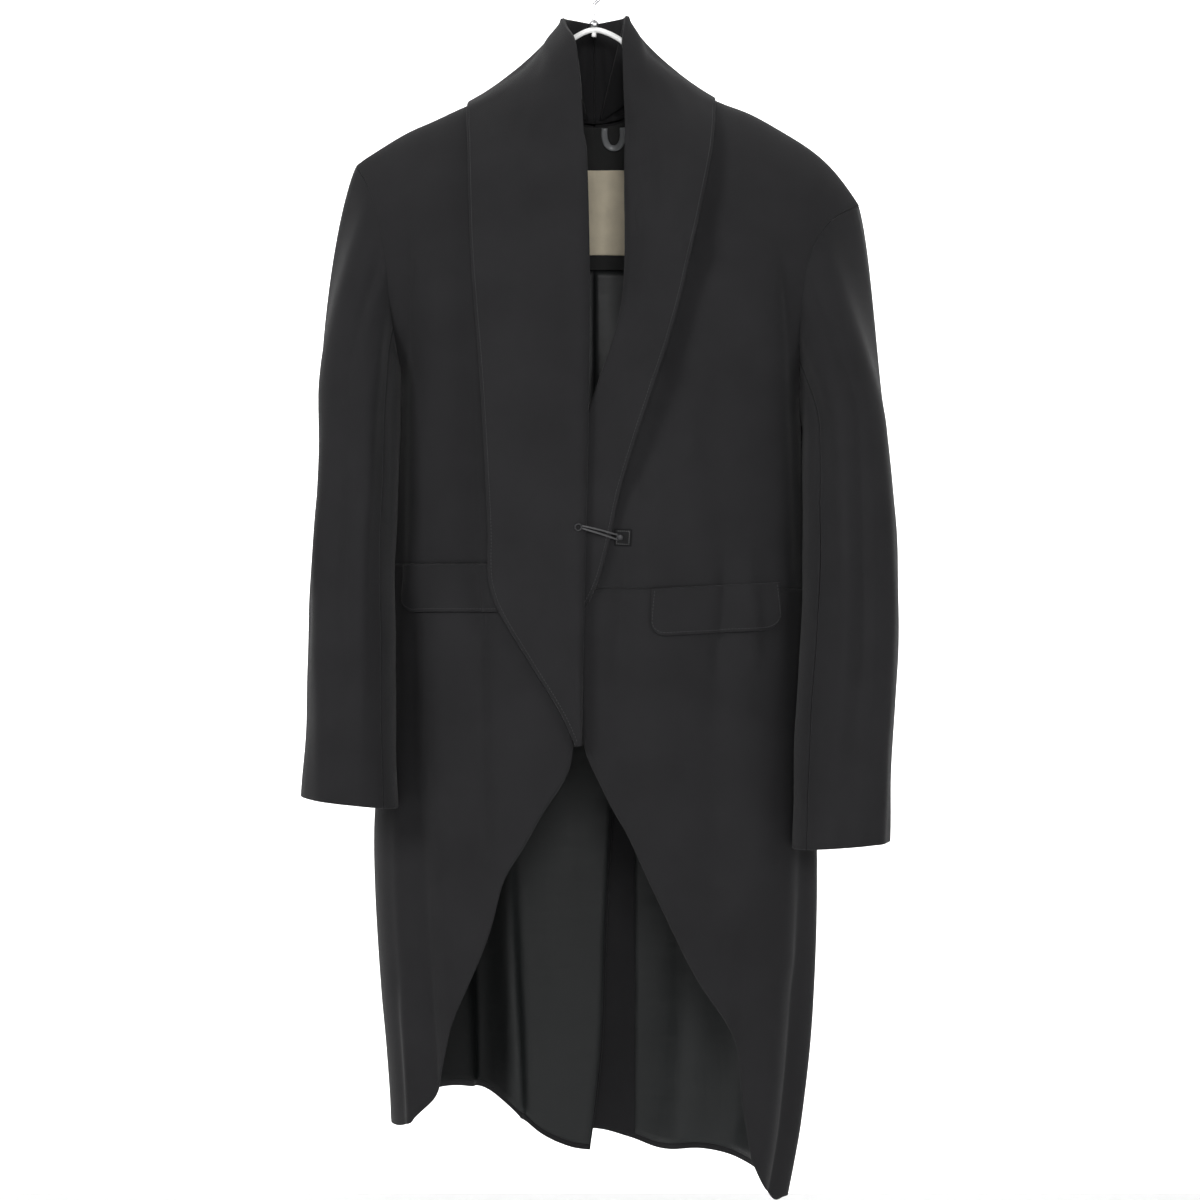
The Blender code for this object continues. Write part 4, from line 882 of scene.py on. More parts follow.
class Shader:
    """A Principled material, with small helpers for its nodes."""

    def __init__(self, name, colour, roughness, **constants):
        self.material = bpy.data.materials.new(name)
        self.material.use_nodes = True
        self.tree = self.material.node_tree
        self.shader = self.tree.nodes["Principled BSDF"]
        self.shader.inputs["Base Color"].default_value = (*colour, 1.0)
        self.shader.inputs["Roughness"].default_value = roughness
        for key, value in constants.items():
            self.shader.inputs[key.replace("_", " ")].default_value = value
        self.colour = colour
        self.places = self.node("ShaderNodeTexCoord")

    def node(self, kind, **settings):
        made = self.tree.nodes.new(kind)
        for key, value in settings.items():
            setattr(made, key, value)
        return made

    def link(self, start, end):
        self.tree.links.new(start, end)

    def shade(self, axis, start, end, dark):
        """Painted shade: darken the colour and the shine along an axis of the object's space, from that share
        of themselves at start to all at end.
        """
        split = self.node("ShaderNodeSeparateXYZ")
        self.link(self.places.outputs["Object"], split.inputs["Vector"])
        spread = self.node("ShaderNodeMapRange", interpolation_type="SMOOTHSTEP")
        for key, value in {"From Min": start, "From Max": end, "To Min": dark, "To Max": 1.0}.items():
            spread.inputs[key].default_value = value
        self.link(split.outputs[axis], spread.inputs["Value"])
        source = self.shader.inputs["Base Color"].links[0].from_socket
        mixed = self.node("ShaderNodeVectorMath", operation="SCALE")
        self.link(source, mixed.inputs["Vector"])
        self.link(spread.outputs["Result"], mixed.inputs["Scale"])
        self.link(mixed.outputs["Vector"], self.shader.inputs["Base Color"])
        shine = self.node("ShaderNodeMath", operation="MULTIPLY")
        self.link(spread.outputs["Result"], shine.inputs[0])
        shine.inputs[1].default_value = self.shader.inputs["Specular IOR Level"].default_value
        self.link(shine.outputs["Value"], self.shader.inputs["Specular IOR Level"])

    def pattern(self, made, scale, where, stretch=(1, 1, 1)):
        """A texture node laid over the object's own space or over the cloth."""
        mapping = self.node("ShaderNodeMapping")
        mapping.inputs["Scale"].default_value = stretch
        self.link(self.places.outputs[where], mapping.inputs["Vector"])
        made.inputs["Scale"].default_value = scale
        self.link(mapping.outputs["Vector"], made.inputs["Vector"])
        return made.outputs["Fac"]

    def noise(self, scale, detail=3.0, stretch=(1, 1, 1)):
        made = self.node("ShaderNodeTexNoise")
        made.inputs["Detail"].default_value = detail
        return self.pattern(made, scale, "Object", stretch)

    def wave(self, scale, direction):
        made = self.node("ShaderNodeTexWave", wave_type="BANDS", bands_direction=direction)
        return self.pattern(made, scale, "UV")

    def vary_colour(self, source, low, high, from_low=0.3, from_high=0.7):
        """The colour between low and high times its own, as the source goes."""
        ramp = self.node("ShaderNodeValToRGB")
        ramp.color_ramp.elements[0].position = from_low
        ramp.color_ramp.elements[1].position = from_high
        ramp.color_ramp.elements[0].color = (*[c * low for c in self.colour], 1.0)
        ramp.color_ramp.elements[1].color = (*[c * high for c in self.colour], 1.0)
        self.link(source, ramp.inputs["Fac"])
        self.link(ramp.outputs["Color"], self.shader.inputs["Base Color"])

    def vary_roughness(self, source, low, high):
        spread = self.node("ShaderNodeMapRange")
        spread.inputs["To Min"].default_value = low
        spread.inputs["To Max"].default_value = high
        self.link(source, spread.inputs["Value"])
        self.link(spread.outputs["Result"], self.shader.inputs["Roughness"])

    def bump(self, *layers):
        """layers are (source, distance in metres, strength), the first one nearest the cloth."""
        last = None
        for source, distance, strength in layers:
            made = self.node("ShaderNodeBump")
            made.inputs["Distance"].default_value = distance
            made.inputs["Strength"].default_value = strength
            self.link(source, made.inputs["Height"])
            if last is not None:
                self.link(last, made.inputs["Normal"])
            last = made.outputs["Normal"]
        self.link(last, self.shader.inputs["Normal"])


def wool(name, colour, sheen=0.06):
    """Black wool: a matt nap over a fine twill, slightly uneven in colour."""
    made = Shader(name, colour, 0.85, Sheen_Weight=sheen, Sheen_Roughness=0.4, Specular_IOR_Level=0.16)
    nap, patches = made.noise(2600, 2.0), made.noise(16, 3.0)
    made.vary_colour(patches, 0.9, 1.12)
    twill = made.wave(520, "DIAGONAL")
    drape = made.noise(9, 2.0, (1.0, 1.0, 0.25))
    made.bump((drape, 0.004, 0.35), (twill, 0.0002, 0.35), (nap, 0.0003, 0.5))
    return made.material


def satin(name, colour, roughness=0.42, painted_shade=None):
    """Lining: a smooth satin with soft strain lines that run down and a few across, and where asked, painted
    shade that darkens part of it by position.
    """
    made = Shader(name, colour, roughness, Specular_IOR_Level=0.26)
    down, across = made.noise(22, 3.0, (1.0, 1.0, 0.16)), made.noise(14, 3.0, (0.35, 0.35, 1.5))
    made.vary_colour(made.noise(10, 2.0, (1.0, 1.0, 0.4)), 0.88, 1.14)
    made.vary_roughness(down, roughness - 0.06, roughness + 0.08)
    made.bump((down, 0.006, 0.35), (across, 0.008, 0.3), (made.wave(900, "X"), 0.0001, 0.2))
    # painted shade: the colour and shine are darkened by the object's X, in place of the shadow in the recess
    if painted_shade:
        made.shade("X", *painted_shade)
    return made.material


def tape(name, colour):
    """A woven tape, with ribs across it."""
    made = Shader(name, colour, 0.75, Sheen_Weight=0.1)
    made.vary_colour(made.noise(60, 3.0), 0.93, 1.06)
    made.bump((made.wave(420, "Y"), 0.0003, 0.4), (made.noise(1500, 2.0), 0.0002, 0.4))
    return made.material


def plain(name, colour, roughness, metallic=0.0, grain=800, depth=0.00005, **constants):
    """A hard material with a fine grain in its colour and surface."""
    made = Shader(name, colour, roughness, Metallic=metallic, **constants)
    made.vary_colour(made.noise(grain / 6, 2.0), 0.92, 1.06)
    made.bump((made.noise(grain, 2.0), depth, 0.4))
    return made.material


# ---- body panels ----------------------------------------------------------------------------------


def lay(name, side, grid, out, thickness, material, *replaced):
    """A wall on the form at a grid of turns and drops."""
    turn, drop = grid
    normals = form_normal(side, turn, drop)
    return shell(name, form(side, turn, drop) + normals * out, normals, thickness, material, *replaced)


def edge_x(side, drop, reach=16.0):
    """How far out a front's inner edge lies, with the bends of its table eased."""
    spread = np.linspace(-1.0, 1.0, 9)
    weights = np.exp(-2.0 * spread**2)
    near = (FRONT_EDGE[side].at("x", drop + d * reach) for d in spread)
    return sum(w * x for w, x in zip(weights, near)) / weights.sum()


def build_body(cloth):
    for side in (RIGHT, LEFT):
        name = SIDE_NAME[side]
        inner = functools.partial(edge_x, side)
        outer = armhole_x(side)
        waist = level(WAIST[side] - SEAM / 2), level(WAIST[side] + SEAM / 2)
        front = panel(side, True, ridge_at(side), waist[0], inner, outer, even(110) ** 1.25, even(70))
        lay(f"cloth_front_{name}", side, front, 0.0, CLOTH, cloth, f"front_{name}")
        hem = hem_at(side, SKIRT_HEM)
        skirt = panel(side, True, waist[1], hem, inner, outer, even(120), even(76))
        lay(f"cloth_skirt_{name}", side, skirt, 0.0, CLOTH, cloth, f"skirt_{name}")
        rows = np.concatenate([even(90)[:-1] ** 1.3 * 0.56, 0.56 + even(90) * 0.44])
        back = panel(
            side, False, ridge_at(side), hem_at(side, BACK_HEM), back_inner_x(side), outer, rows, even(90)
        )
        lay(f"cloth_back_{name}", side, back, 0.0, CLOTH, cloth, f"back_{name}")


# ---- sleeves --------------------------------------------------------------------------------------


def armhole_place(side, turn):
    """Place on the form of the armhole at a turn of the sleeve: 0 at the shoulder, 0.5 at the armpit."""
    way = turn % 1.0
    front = way <= 0.5
    way = np.minimum(way, 1.0 - way) * 2
    drop = SLEEVE_TIP[side] + (ARMPIT[side] - SLEEVE_TIP[side]) * way
    x = ARMHOLE.at(SIDE_NAME[side], way)
    ring = turn_at(side, x, drop)
    return np.where(front, ring, 1.0 - ring), drop


def sleeve_tube(side, turn, down):
    """The sleeve below its head. down is 0 at the crown level and 1 at the cuff."""
    angle = 2 * math.pi * turn
    inwards = (1.0 - np.cos(angle)) / 2
    cuff = CUFF_OUTER[side] + (CUFF_INNER[side] - CUFF_OUTER[side]) * inwards
    drop = SLEEVE_CROWN[side] + (cuff - SLEEVE_CROWN[side]) * down
    table = SLEEVE[side]
    x = table.at("x", drop) + table.at("across", drop) * rounded(np.cos(angle), SLEEVE_ROUNDNESS)
    y = table.at("y", drop) - table.at("deep", drop) * rounded(np.sin(angle), SLEEVE_ROUNDNESS)
    return np.stack([side * x, y, -drop], axis=-1)


def sleeve_start(side, turn):
    """Where the sleeve's inside starts: at the armhole's edge, over the panel's wall where it turns away."""
    place = armhole_place(side, turn)
    point, normal = form(side, *place), form_normal(side, *place)
    angle = 2 * math.pi * turn
    faces = np.stack([side * np.cos(angle), -np.sin(angle), 0 * angle], axis=-1)
    turned = 1.0 - np.clip((normal * faces).sum(axis=-1, keepdims=True), -1.0, 1.0)
    step = form(side, *armhole_place(side, turn + 0.01)) - form(side, *armhole_place(side, turn - 0.01))
    away = unit(np.cross(step, normal))
    away *= np.sign((away * np.array([side, 0.0, -0.5])).sum(axis=-1, keepdims=True))
    beside = ARMHOLE_CLEAR * np.maximum(1.0 - turned, 0.0)
    lifted = CLOTH * turned + ARMHOLE_CLEAR * np.minimum(turned * 4, 1.0)
    return point + away * beside + normal * lifted


def sleeve_point(side, turn, down):
    """Points of the sleeve. down is 0 at the armhole, SLEEVE_HEAD at the crown and 1 at the cuff."""
    turn, down = np.broadcast_arrays(np.asarray(turn, float), np.asarray(down, float))
    tube_part = sleeve_tube(side, turn, np.maximum(down - SLEEVE_HEAD, 0.0) / (1 - SLEEVE_HEAD))
    start, end = sleeve_start(side, turn), sleeve_tube(side, turn, 0.0)
    key = turn % 1.0
    out, forward, below = (HEAD.at(name, key) for name in (SIDE_NAME[side], "forward", "down"))
    leave = np.stack([side * out, -forward, -below], axis=-1)
    tube_way = unit(sleeve_tube(side, turn, 0.05) - end)
    arrive = tube_way * (start[..., 2:] - end[..., 2:])
    head = hermite(start, end, leave, arrive, np.minimum(down / SLEEVE_HEAD, 1.0)[..., None])
    return np.where((down >= SLEEVE_HEAD)[..., None], tube_part, head)


def sleeve_creases(side, turn, down):
    """How far the creases of a sleeve and its own unevenness stand out."""
    total = np.zeros_like(turn)
    for where, from_turn, from_down, to_turn, to_down, width, depth in SLEEVE_CREASES:
        if where != side:
            continue
        stretch = 0.16  # a share of the way down weighs as much as this share of a turn
        for whole in (-1, 0, 1):
            line = (from_turn, from_down * stretch, to_turn, to_down * stretch)
            far = from_line(turn + whole, down * stretch, line)
            total += depth * np.exp(-((far / width) ** 2))
    settled = smooth(0.0, 0.06, down)
    whole_turn = 2 * math.pi
    ripple = np.sin(whole_turn * (3.1 * turn + 1.3 * down)) * np.sin(whole_turn * (5.3 * down + 0.7 * turn))
    return (total + 0.5 * ripple * smooth(0.2, 0.5, down)) * settled


def square_to(side, surface, turn, down, step, tip=0.004):
    """Outward directions of a sleeve's surface, from points a small way round and down it."""
    round_it = surface(turn + tip, down) - surface(turn - tip, down)
    low, high = np.minimum(down + step, 1.0), np.maximum(down - step, 0.0)
    return unit(np.cross(round_it, surface(turn, low) - surface(turn, high))) * side


def sleeve_surface(side, turn, down):
    """Points and outward directions of a sleeve, with its creases."""
    turn, down = np.broadcast_arrays(np.asarray(turn, float), np.asarray(down, float))

    flat = functools.partial(sleeve_point, side)

    def creased(turn, down):
        out = square_to(side, flat, turn, down, 0.01)
        return flat(turn, down) + out * sleeve_creases(side, turn, down)[..., None]

    return creased(turn, down), square_to(side, creased, turn, down, 0.008)


def build_sleeves(cloth):
    rows = np.concatenate([even(60)[:-1] ** 1.3 * SLEEVE_HEAD, SLEEVE_HEAD + even(90) * (1 - SLEEVE_HEAD)])
    gap = 0.0006  # half a seam, as a turn
    pieces = {
        "top": (BACK_SLEEVE_SEAM - 1.0 + gap, FRONT_SLEEVE_SEAM - gap, 84),
        "under": (FRONT_SLEEVE_SEAM + gap, BACK_SLEEVE_SEAM - gap, 72),
    }
    for side in (RIGHT, LEFT):
        for piece, (start, end, count) in pieces.items():
            turns = start + (end - start) * even(count)
            points, normals = sleeve_surface(side, turns[None, :], rows[:, None])
            node = f"sleeve_{piece}_{SIDE_NAME[side]}"
            shell(f"cloth_{node}", points, normals, CLOTH, cloth, node)


# ---- collar ---------------------------------------------------------------------------------------


def collar_seam(side, seam):
    """Where the collar is sewn on: just off the neckline of the back, then the front's inner edge."""
    angle = -np.minimum(seam, 0.0) * math.pi / 2
    x = (NECK_HALF - COLLAR_CLEAR) * np.cos(angle)
    top = FRONT_EDGE[side].keys[0]
    drop = top + (NECK_SIDE + NECK_BACK_DEEP - COLLAR_CLEAR - top) * np.sin(angle)
    behind = on_form(side, turn_at(side, x, drop, front=False), drop, CLOTH)
    down = top + np.maximum(seam, 0.0)
    before = at_front(side, FRONT_EDGE[side].at("x", down) - COLLAR_CLEAR, down, CLOTH + COLLAR_CLEAR)
    return np.where((seam <= 0.0)[..., None], behind, before)


def clear_of_body(side, points, out):
    """The points moved forwards or back until they are that far outside the form."""
    x, drop = side * points[..., 0], -points[..., 2]
    front = points[..., 1] < 0
    turn = np.where(front, turn_at(side, x, drop), turn_at(side, x, drop, front=False))
    free = (drop < ridge_drop(side, turn) + 1.0) | (np.abs(x) > 170)
    surface, normal = form(side, turn, drop), form_normal(side, turn, drop)
    steep = np.maximum(np.abs(normal[..., 1]), 0.4)
    reach = np.abs(surface[..., 1]) + out / steep
    y = np.copysign(np.maximum(np.abs(points[..., 1]), reach), points[..., 1])
    moved = points.copy()
    moved[..., 1] = np.where(free, points[..., 1], y)
    return moved


def collar_rows(side, stations):
    """The collar's underside at each station, from the seam over the roll to the edge."""
    table = {name: COLLAR[side].at(name, stations) for name in COLLAR[side].columns}
    roll = np.stack([side * table["roll_x"], table["roll_y"], -table["roll_drop"]], axis=-1)
    edge = np.stack([side * table["edge_x"], table["edge_y"], -table["edge_drop"]], axis=-1)
    seam = collar_seam(side, table["seam"])
    roll = clear_of_body(side, roll, np.full(len(stations), ROLL_OUT[side]))
    sinks = ROLL_SINKS[side].at("back", stations)
    roll[:, 1] += sinks
    at_neck = (1.0 - smooth(5.0, 10.0, stations))[:, None]
    points = [seam + (roll - seam) * share for share in LEG_ACROSS]
    away, leg = unit(edge - roll), unit(seam - roll)
    outwards = unit(away - leg * (away * leg).sum(axis=-1, keepdims=True))
    outwards = np.where(at_neck > 0, outwards, np.array([0.0, -1.0, 0.0]))
    sag = COLLAR_SAG.at("out", stations)[:, None]
    lift = EDGE_LIFT[side].at("out", stations)
    points.append(roll)
    for share in FALL_ACROSS:
        point = roll + (edge - roll) * share
        point = point + outwards * sag * math.sin(math.pi * share**0.8)
        point = point + outwards * at_neck * 1.2 * smooth(0.0, 0.08, share)
        off_leg = FALL_CLEAR * min(share / FALL_ACROSS[1], 1.0) * np.minimum(at_neck * 4, 1.0)
        beyond = ((point - roll) * outwards).sum(axis=-1, keepdims=True)
        point = point + outwards * np.maximum(off_leg - beyond, 0.0)
        lying = clear_of_body(side, point, COLLAR_LIES[side] + lift * share**2.5)
        bare = 1.0 - smooth(-26.0, 8.0, np.abs(point[:, 0]) - FRONT_EDGE[side].at("x", -point[:, 2]))
        points.append(lying + (point - lying) * (bare * (sinks > 0.5))[:, None])
    rows = settled(np.stack(points, axis=1))
    behind = stations[:, None] < 4  # there the collar keeps to its own side of the centre seam
    least = np.where(behind, 0.05 * stations[:, None], -np.inf)
    rows[:, :, 0] = side * np.maximum(side * rows[:, :, 0], least)
    return rows


def settled(rows, reach=6):
    """The rows, each eased into its neighbours; the first and the last stay."""
    weights = np.exp(-((np.arange(-reach, reach + 1) / (reach / 2)) ** 2))
    before, after = 2 * rows[:1] - rows[reach:0:-1], 2 * rows[-1:] - rows[-2 : -reach - 2 : -1]
    padded = np.concatenate([before, rows, after])
    return sum(w * padded[k : k + len(rows)] for k, w in enumerate(weights)) / weights.sum()


def refine(rows, leg, fall):
    """More points across each row, on a smooth curve through its own, close together at the roll."""
    steps = np.linalg.norm(np.diff(rows, axis=1), axis=-1)
    knots = np.concatenate([np.zeros((len(rows), 1)), np.cumsum(np.sqrt(steps), axis=1)], axis=1)
    long = np.concatenate([np.zeros((len(rows), 1)), np.cumsum(steps, axis=1)], axis=1)
    made = np.empty((len(rows), leg + fall, 3))
    to_roll = 1.0 - (1.0 - even(leg)) ** 1.7
    from_roll = even(fall + 1)[1:] ** 1.5
    last = rows.shape[1] - 1
    for i, (row, knot, length) in enumerate(zip(rows, knots, long)):
        slopes = slopes_at(knot, row)
        at_roll = length[len(LEG_ACROSS)]
        way = np.concatenate([at_roll * to_roll, at_roll + (length[-1] - at_roll) * from_roll])
        key = np.interp(way, length, knot)
        k = np.clip(np.searchsorted(knot, key, side="right") - 1, 0, last - 1)
        step = (knot[k + 1] - knot[k])[:, None]
        f = (key - knot[k])[:, None] / step
        made[i] = hermite(row[k], row[k + 1], slopes[k] * step, slopes[k + 1] * step, f)
    return made


def build_collars(cloth):
    for side in (RIGHT, LEFT):
        last = COLLAR[side].keys[-1]
        stations = np.concatenate([np.linspace(0, 7, 90)[:-1], np.linspace(7, last, 110)])
        points = refine(collar_rows(side, stations), 20, 60)
        normals = unit(settled(grid_normals(points) * side))
        turned = np.linspace(0, 1, points.shape[1])[None, :]
        inside = (1.0 - smooth(0.10, 0.22, turned)) * (1.0 - smooth(3.0, 5.0, stations))[:, None]
        ripple = np.sin(9.0 * stations + 2.0 * side)[:, None] * np.sin(2.3 * stations[:, None] + 6.0 * turned)
        points += normals * (0.9 * inside * ripple)[..., None]
        points[0, :, 0] = side * SEAM / 2
        normals[0, :, 0] = 0.0
        normals[0] = unit(normals[0])
        node = f"collar_{SIDE_NAME[side]}"
        shell(f"cloth_{node}", points, normals, COLLAR_CLOTH, cloth, node)


# ---- what shows inside ----------------------------------------------------------------------------


def build_inside(facing_cloth, lining_cloth, paper):
    x = (even(60) * 2 - 1) * FACING_HALF
    share = even(70)[:, None]
    top = (neck_drop(x) + 1.0)[None, :]
    drop = top + (FACING_END - top) * share
    turn = turn_at(RIGHT, -np.broadcast_to(x, drop.shape), drop, front=False)
    inside = -FACING_LIFT - LINING_CLOTH
    lay("cloth_neck_facing", RIGHT, (turn, drop), inside, LINING_CLOTH, facing_cloth, "neck_facing")

    from_x, to_x, from_drop, to_drop = LABEL
    x = from_x + (to_x - from_x) * even(30)
    drop = np.broadcast_to((from_drop + (to_drop - from_drop) * even(36))[:, None], (36, 30))
    turn = turn_at(RIGHT, -np.broadcast_to(x, drop.shape), drop, front=False)
    lay("cloth_label", RIGHT, (turn, drop), inside - LAID - LABEL_CLOTH, LABEL_CLOTH, paper, "label")

    for side in (RIGHT, LEFT):
        hem = hem_at(side, BACK_HEM)

        def inner(drop, side=side):
            bare = VENT_FACING if side == LEFT else VENT_FACING_WIDE - VENT_EDGE[side].at("x", drop)
            return np.where(drop > VENT_TOP, bare, SEAM / 2)

        grid = panel(
            side,
            False,
            level(FACING_END + LINING_GAP),
            lambda turn, hem=hem: hem(turn) - LINING_SHORT / 2,
            inner,
            armhole_x(side),
            even(130),
            even(72),
        )
        node = f"lining_{SIDE_NAME[side]}"
        lay(f"cloth_{node}", side, grid, -LINING_LIFT - LINING_CLOTH, LINING_CLOTH, lining_cloth, node)


# ---- flaps, buttons and the fastening -------------------------------------------------------------


def build_flaps(cloth):
    for side in (RIGHT, LEFT):
        near, far, near_top, far_top = FLAPS[side]
        x = near + (far - near) * even(70)[None, :]
        share = even(26)[:, None]
        top = near_top + (far_top - near_top) * (x - near) / (far - near)
        corner = np.maximum(np.maximum(FLAP_CORNER - (x - near), FLAP_CORNER - (far - x)), 0.0) / FLAP_CORNER
        high = FLAP_HIGH - FLAP_CORNER * (1.0 - np.sqrt(1.0 - corner**2))
        drop = top + high * share
        turn = turn_at(side, np.broadcast_to(x, drop.shape), drop)
        normals = form_normal(side, turn, drop)
        lift = CLOTH + 0.5 + 1.2 * share**2 * (0.7 + 0.3 * np.sin(x / 17.0))
        points = form(side, turn, drop) + normals * lift[..., None]
        node = f"flap_{SIDE_NAME[side]}"
        shell(f"cloth_{node}", points, normals, CLOTH, cloth, node)


def lathe(name, profile, material, place, out, *replaced, steps=40):
    """A round piece from (radius, height) points, standing on a place."""
    angles = np.linspace(0, 2 * math.pi, steps, endpoint=False)
    profile = np.array(profile, float)
    rings = np.stack(
        [
            profile[:, :1] * np.cos(angles),
            profile[:, :1] * np.sin(angles),
            np.broadcast_to(profile[:, 1:], (len(profile), steps)),
        ],
        axis=-1,
    )
    turned = np.array(Vector((0, 0, 1)).rotation_difference(Vector(out)).to_matrix())
    points = rings.reshape(-1, 3) @ turned.T + np.asarray(place)
    mesh = smooth_mesh(name, points, tube_faces(len(points), steps))
    mesh.set_sharp_from_angle(angle=math.radians(60))
    return new_object(name, mesh, material, *replaced)


def round_path(points, per_span=6):
    """A smooth line through points, given as x, y and drop."""
    points = np.array(points, float) * (1, 1, -1)
    last = len(points) - 1
    slopes = slopes_at(np.arange(last + 1), points)
    key = np.linspace(0, last, last * per_span + 1)
    k = np.clip(key.astype(int), 0, last - 1)
    return hermite(points[k], points[k + 1], slopes[k], slopes[k + 1], (key - k)[:, None])


def build_fastening(leather, cord, metal):
    from_x, to_x, from_drop, to_drop = TAB
    x, drop = np.meshgrid(np.linspace(from_x, to_x, 24), np.linspace(from_drop, to_drop, 24))
    grid = turn_at(LEFT, x, drop), drop
    lay("stitched_tab", LEFT, grid, CLOTH + LAID, TAB_THICK, leather, "fastener_tab")

    base = at_front(LEFT, *KNOB, CLOTH + LAID + TAB_THICK)
    out = form_normal(LEFT, turn_at(LEFT, *KNOB), KNOB[1])
    steps = round_path([(r, 0, -z) for r, z in KNOB_PROFILE], 4)
    tip = 0.02  # the radius of the small flat that closes it
    profile = [(max(r, tip), z) for r, _, z in steps] + [(tip, KNOB_PROFILE[-1][1])]
    lathe("knob", profile, metal, base, out, "fastener_knob")

    middle = at_front(RIGHT, *EYELET, COLLAR_LIES[RIGHT] + COLLAR_CLOTH + EYELET_WIRE)
    angles = np.linspace(0, 2 * math.pi, 49)
    ring = middle + np.stack([np.cos(angles), 0 * angles, np.sin(angles)], axis=-1) * EYELET_RADIUS
    tube("eyelet", ring, EYELET_WIRE, metal, "fastener_eyelet", ends=False, up=(0, -1, 0))

    neck = base + out * KNOB_PROFILE[1][1] / 2
    wrap = KNOB_NECK + CORD_RADIUS
    start = middle + np.array([EYELET_RADIUS + EYELET_WIRE, 0.0, 0.0])
    bow, apart = np.array([0, -CORD_BOWS, 0.0]), np.array([0, 0, CORD_APART])
    beside = neck - np.array([KNOB_NECK * 1.5, 0, 0])
    half = (start + neck) / 2 + bow
    round_it = np.linspace(0.16, 0.84, 7) * math.pi
    turns = [neck + np.array([math.sin(a), 0, math.cos(a)]) * wrap for a in round_it]
    route = [start + apart, half + apart * 1.5, beside + (0, 0, wrap), *turns]
    route += [beside - (0, 0, wrap), half - apart * 1.5, start - apart]
    line = round_path(np.array(route) * (1, 1, -1))
    tube("cord", line, CORD_RADIUS, cord, "fastener_cord", up=(0, -1, 0.01))


def build_hanging_loop(tape_cloth):
    out = -FACING_LIFT - LINING_CLOTH - LAID - LOOP_RADIUS / 2
    x, drop = np.array(LOOP_ROUTE).T
    turn = turn_at(LEFT, x, drop, front=False)
    centres = form(LEFT, turn, drop) + form_normal(LEFT, turn, drop) * out
    line, half = round_path(centres * (1, 1, -1)), LOOP_RADIUS * LOOP_SPREAD
    tube("satin_loop", line, half, tape_cloth, "hanging_loop", flat=LOOP_FLAT, up=(0, -1, 0.01))


def build_hanger(steel, white):
    first, last = HOOK_TURNS
    middle = HOOK_RADIUS + WIRE_RADIUS
    angles = np.radians(np.linspace(first, last, 60))
    curl = [(math.cos(a) * middle, 0, HOOK_RADIUS - math.sin(a) * middle) for a in angles]
    stem = round_path([(x, 0, drop) for x, drop in STEM] + curl[:1], 5)
    wire = np.concatenate([stem, (np.array(curl) * (1, 1, -1))[1:]])
    tube("hook_wire", wire, WIRE_RADIUS, steel, "hanger_hook", sides=16, up=(0, -1, 0))
    edge, bevel = NUT_RADIUS * 0.9, 0.5
    nut = ((edge, 0), (NUT_RADIUS, bevel), (NUT_RADIUS, NUT_HIGH - bevel), (edge, NUT_HIGH))
    lathe("hook_nut", nut, steel, (0, 0, -NUT_TOP - NUT_HIGH), (0, 0, 1), "hanger_nut", steps=6)

    route = []
    for side in (RIGHT, LEFT):
        x = np.linspace(ROD_START, ROD_END[side], 7)
        slope = (RIDGE.at(SIDE_NAME[side], x + 2) - RIDGE.at(SIDE_NAME[side], x - 2)) / 4
        drop = RIDGE.at(SIDE_NAME[side], x) + (ROD_RADIUS + ROD_CLEAR) * np.hypot(1, slope)
        arm = [(side * a, 0, d) for a, d in ARCH[side]] + [(side * a, 0, d) for a, d in zip(x, drop)]
        route = arm[::-1] + [(0, 0, ARCH_TOP)] if side == RIGHT else route + arm
    tube("hanger_rod", round_path(route), ROD_RADIUS, white, "hanger_arms", sides=16, up=(0, -1, 0))
    bolt = (
        (BOLT_RADIUS * 0.8, 0),
        (BOLT_RADIUS, 0.4),
        (BOLT_RADIUS, BOLT_HIGH),
        (BOLT_RADIUS * 0.9, BOLT_HIGH + 0.3),
    )
    low = ARCH_TOP + ROD_RADIUS + LAID + BOLT_HIGH
    lathe("hook_bolt", bolt, white, (0, 0, -low), (0, 0, 1), "hanger_bolt", steps=20)


def build_buttons(horn, thread):
    rim, dish = BUTTON_RADIUS, BUTTON_RADIUS * 0.72
    profile = (
        (rim * 0.55, 0.0),
        (rim * 0.9, 0.25),
        (rim, 1.0),
        (rim, 1.7),
        (rim * 0.95, 2.35),
        (rim * 0.86, BUTTON_THICK),
        (dish, 2.2),
        (dish * 0.6, 1.75),
        (0.05, 1.7),
    )
    for side in (RIGHT, LEFT):
        long = CUFF_OUTER[side] - SLEEVE_CROWN[side]
        for k in range(CUFF_BUTTONS):
            down = 1.0 - (BUTTON_FROM_HEM + BUTTON_PITCH * k) / long * (1 - SLEEVE_HEAD)
            (here,), (out,) = sleeve_surface(side, np.array([BUTTON_TURN]), np.array([down]))
            place = here + out * (CLOTH + BUTTON_LIFT)
            node = f"cuff_button_{SIDE_NAME[side]}_{k + 1}"
            lathe(f"button_{SIDE_NAME[side]}_{k + 1}", profile, horn, place, out, node)
            first = unit(np.cross(out, [0.3, 0.2, 1.0]))
            second = np.cross(out, first)
            for n, (a, b) in enumerate(((1, 1), (-1, 1))):
                reach = (first * a + second * b) * 1.15
                top = place + out * 2.0
                arc = [top + reach * s + out * (0.5 * (1 - s**2) - 0.25) for s in np.linspace(-1, 1, 7)]
                tube(f"button_thread_{SIDE_NAME[side]}_{k + 1}_{n + 1}", arc, 0.32, thread, sides=6, up=out)


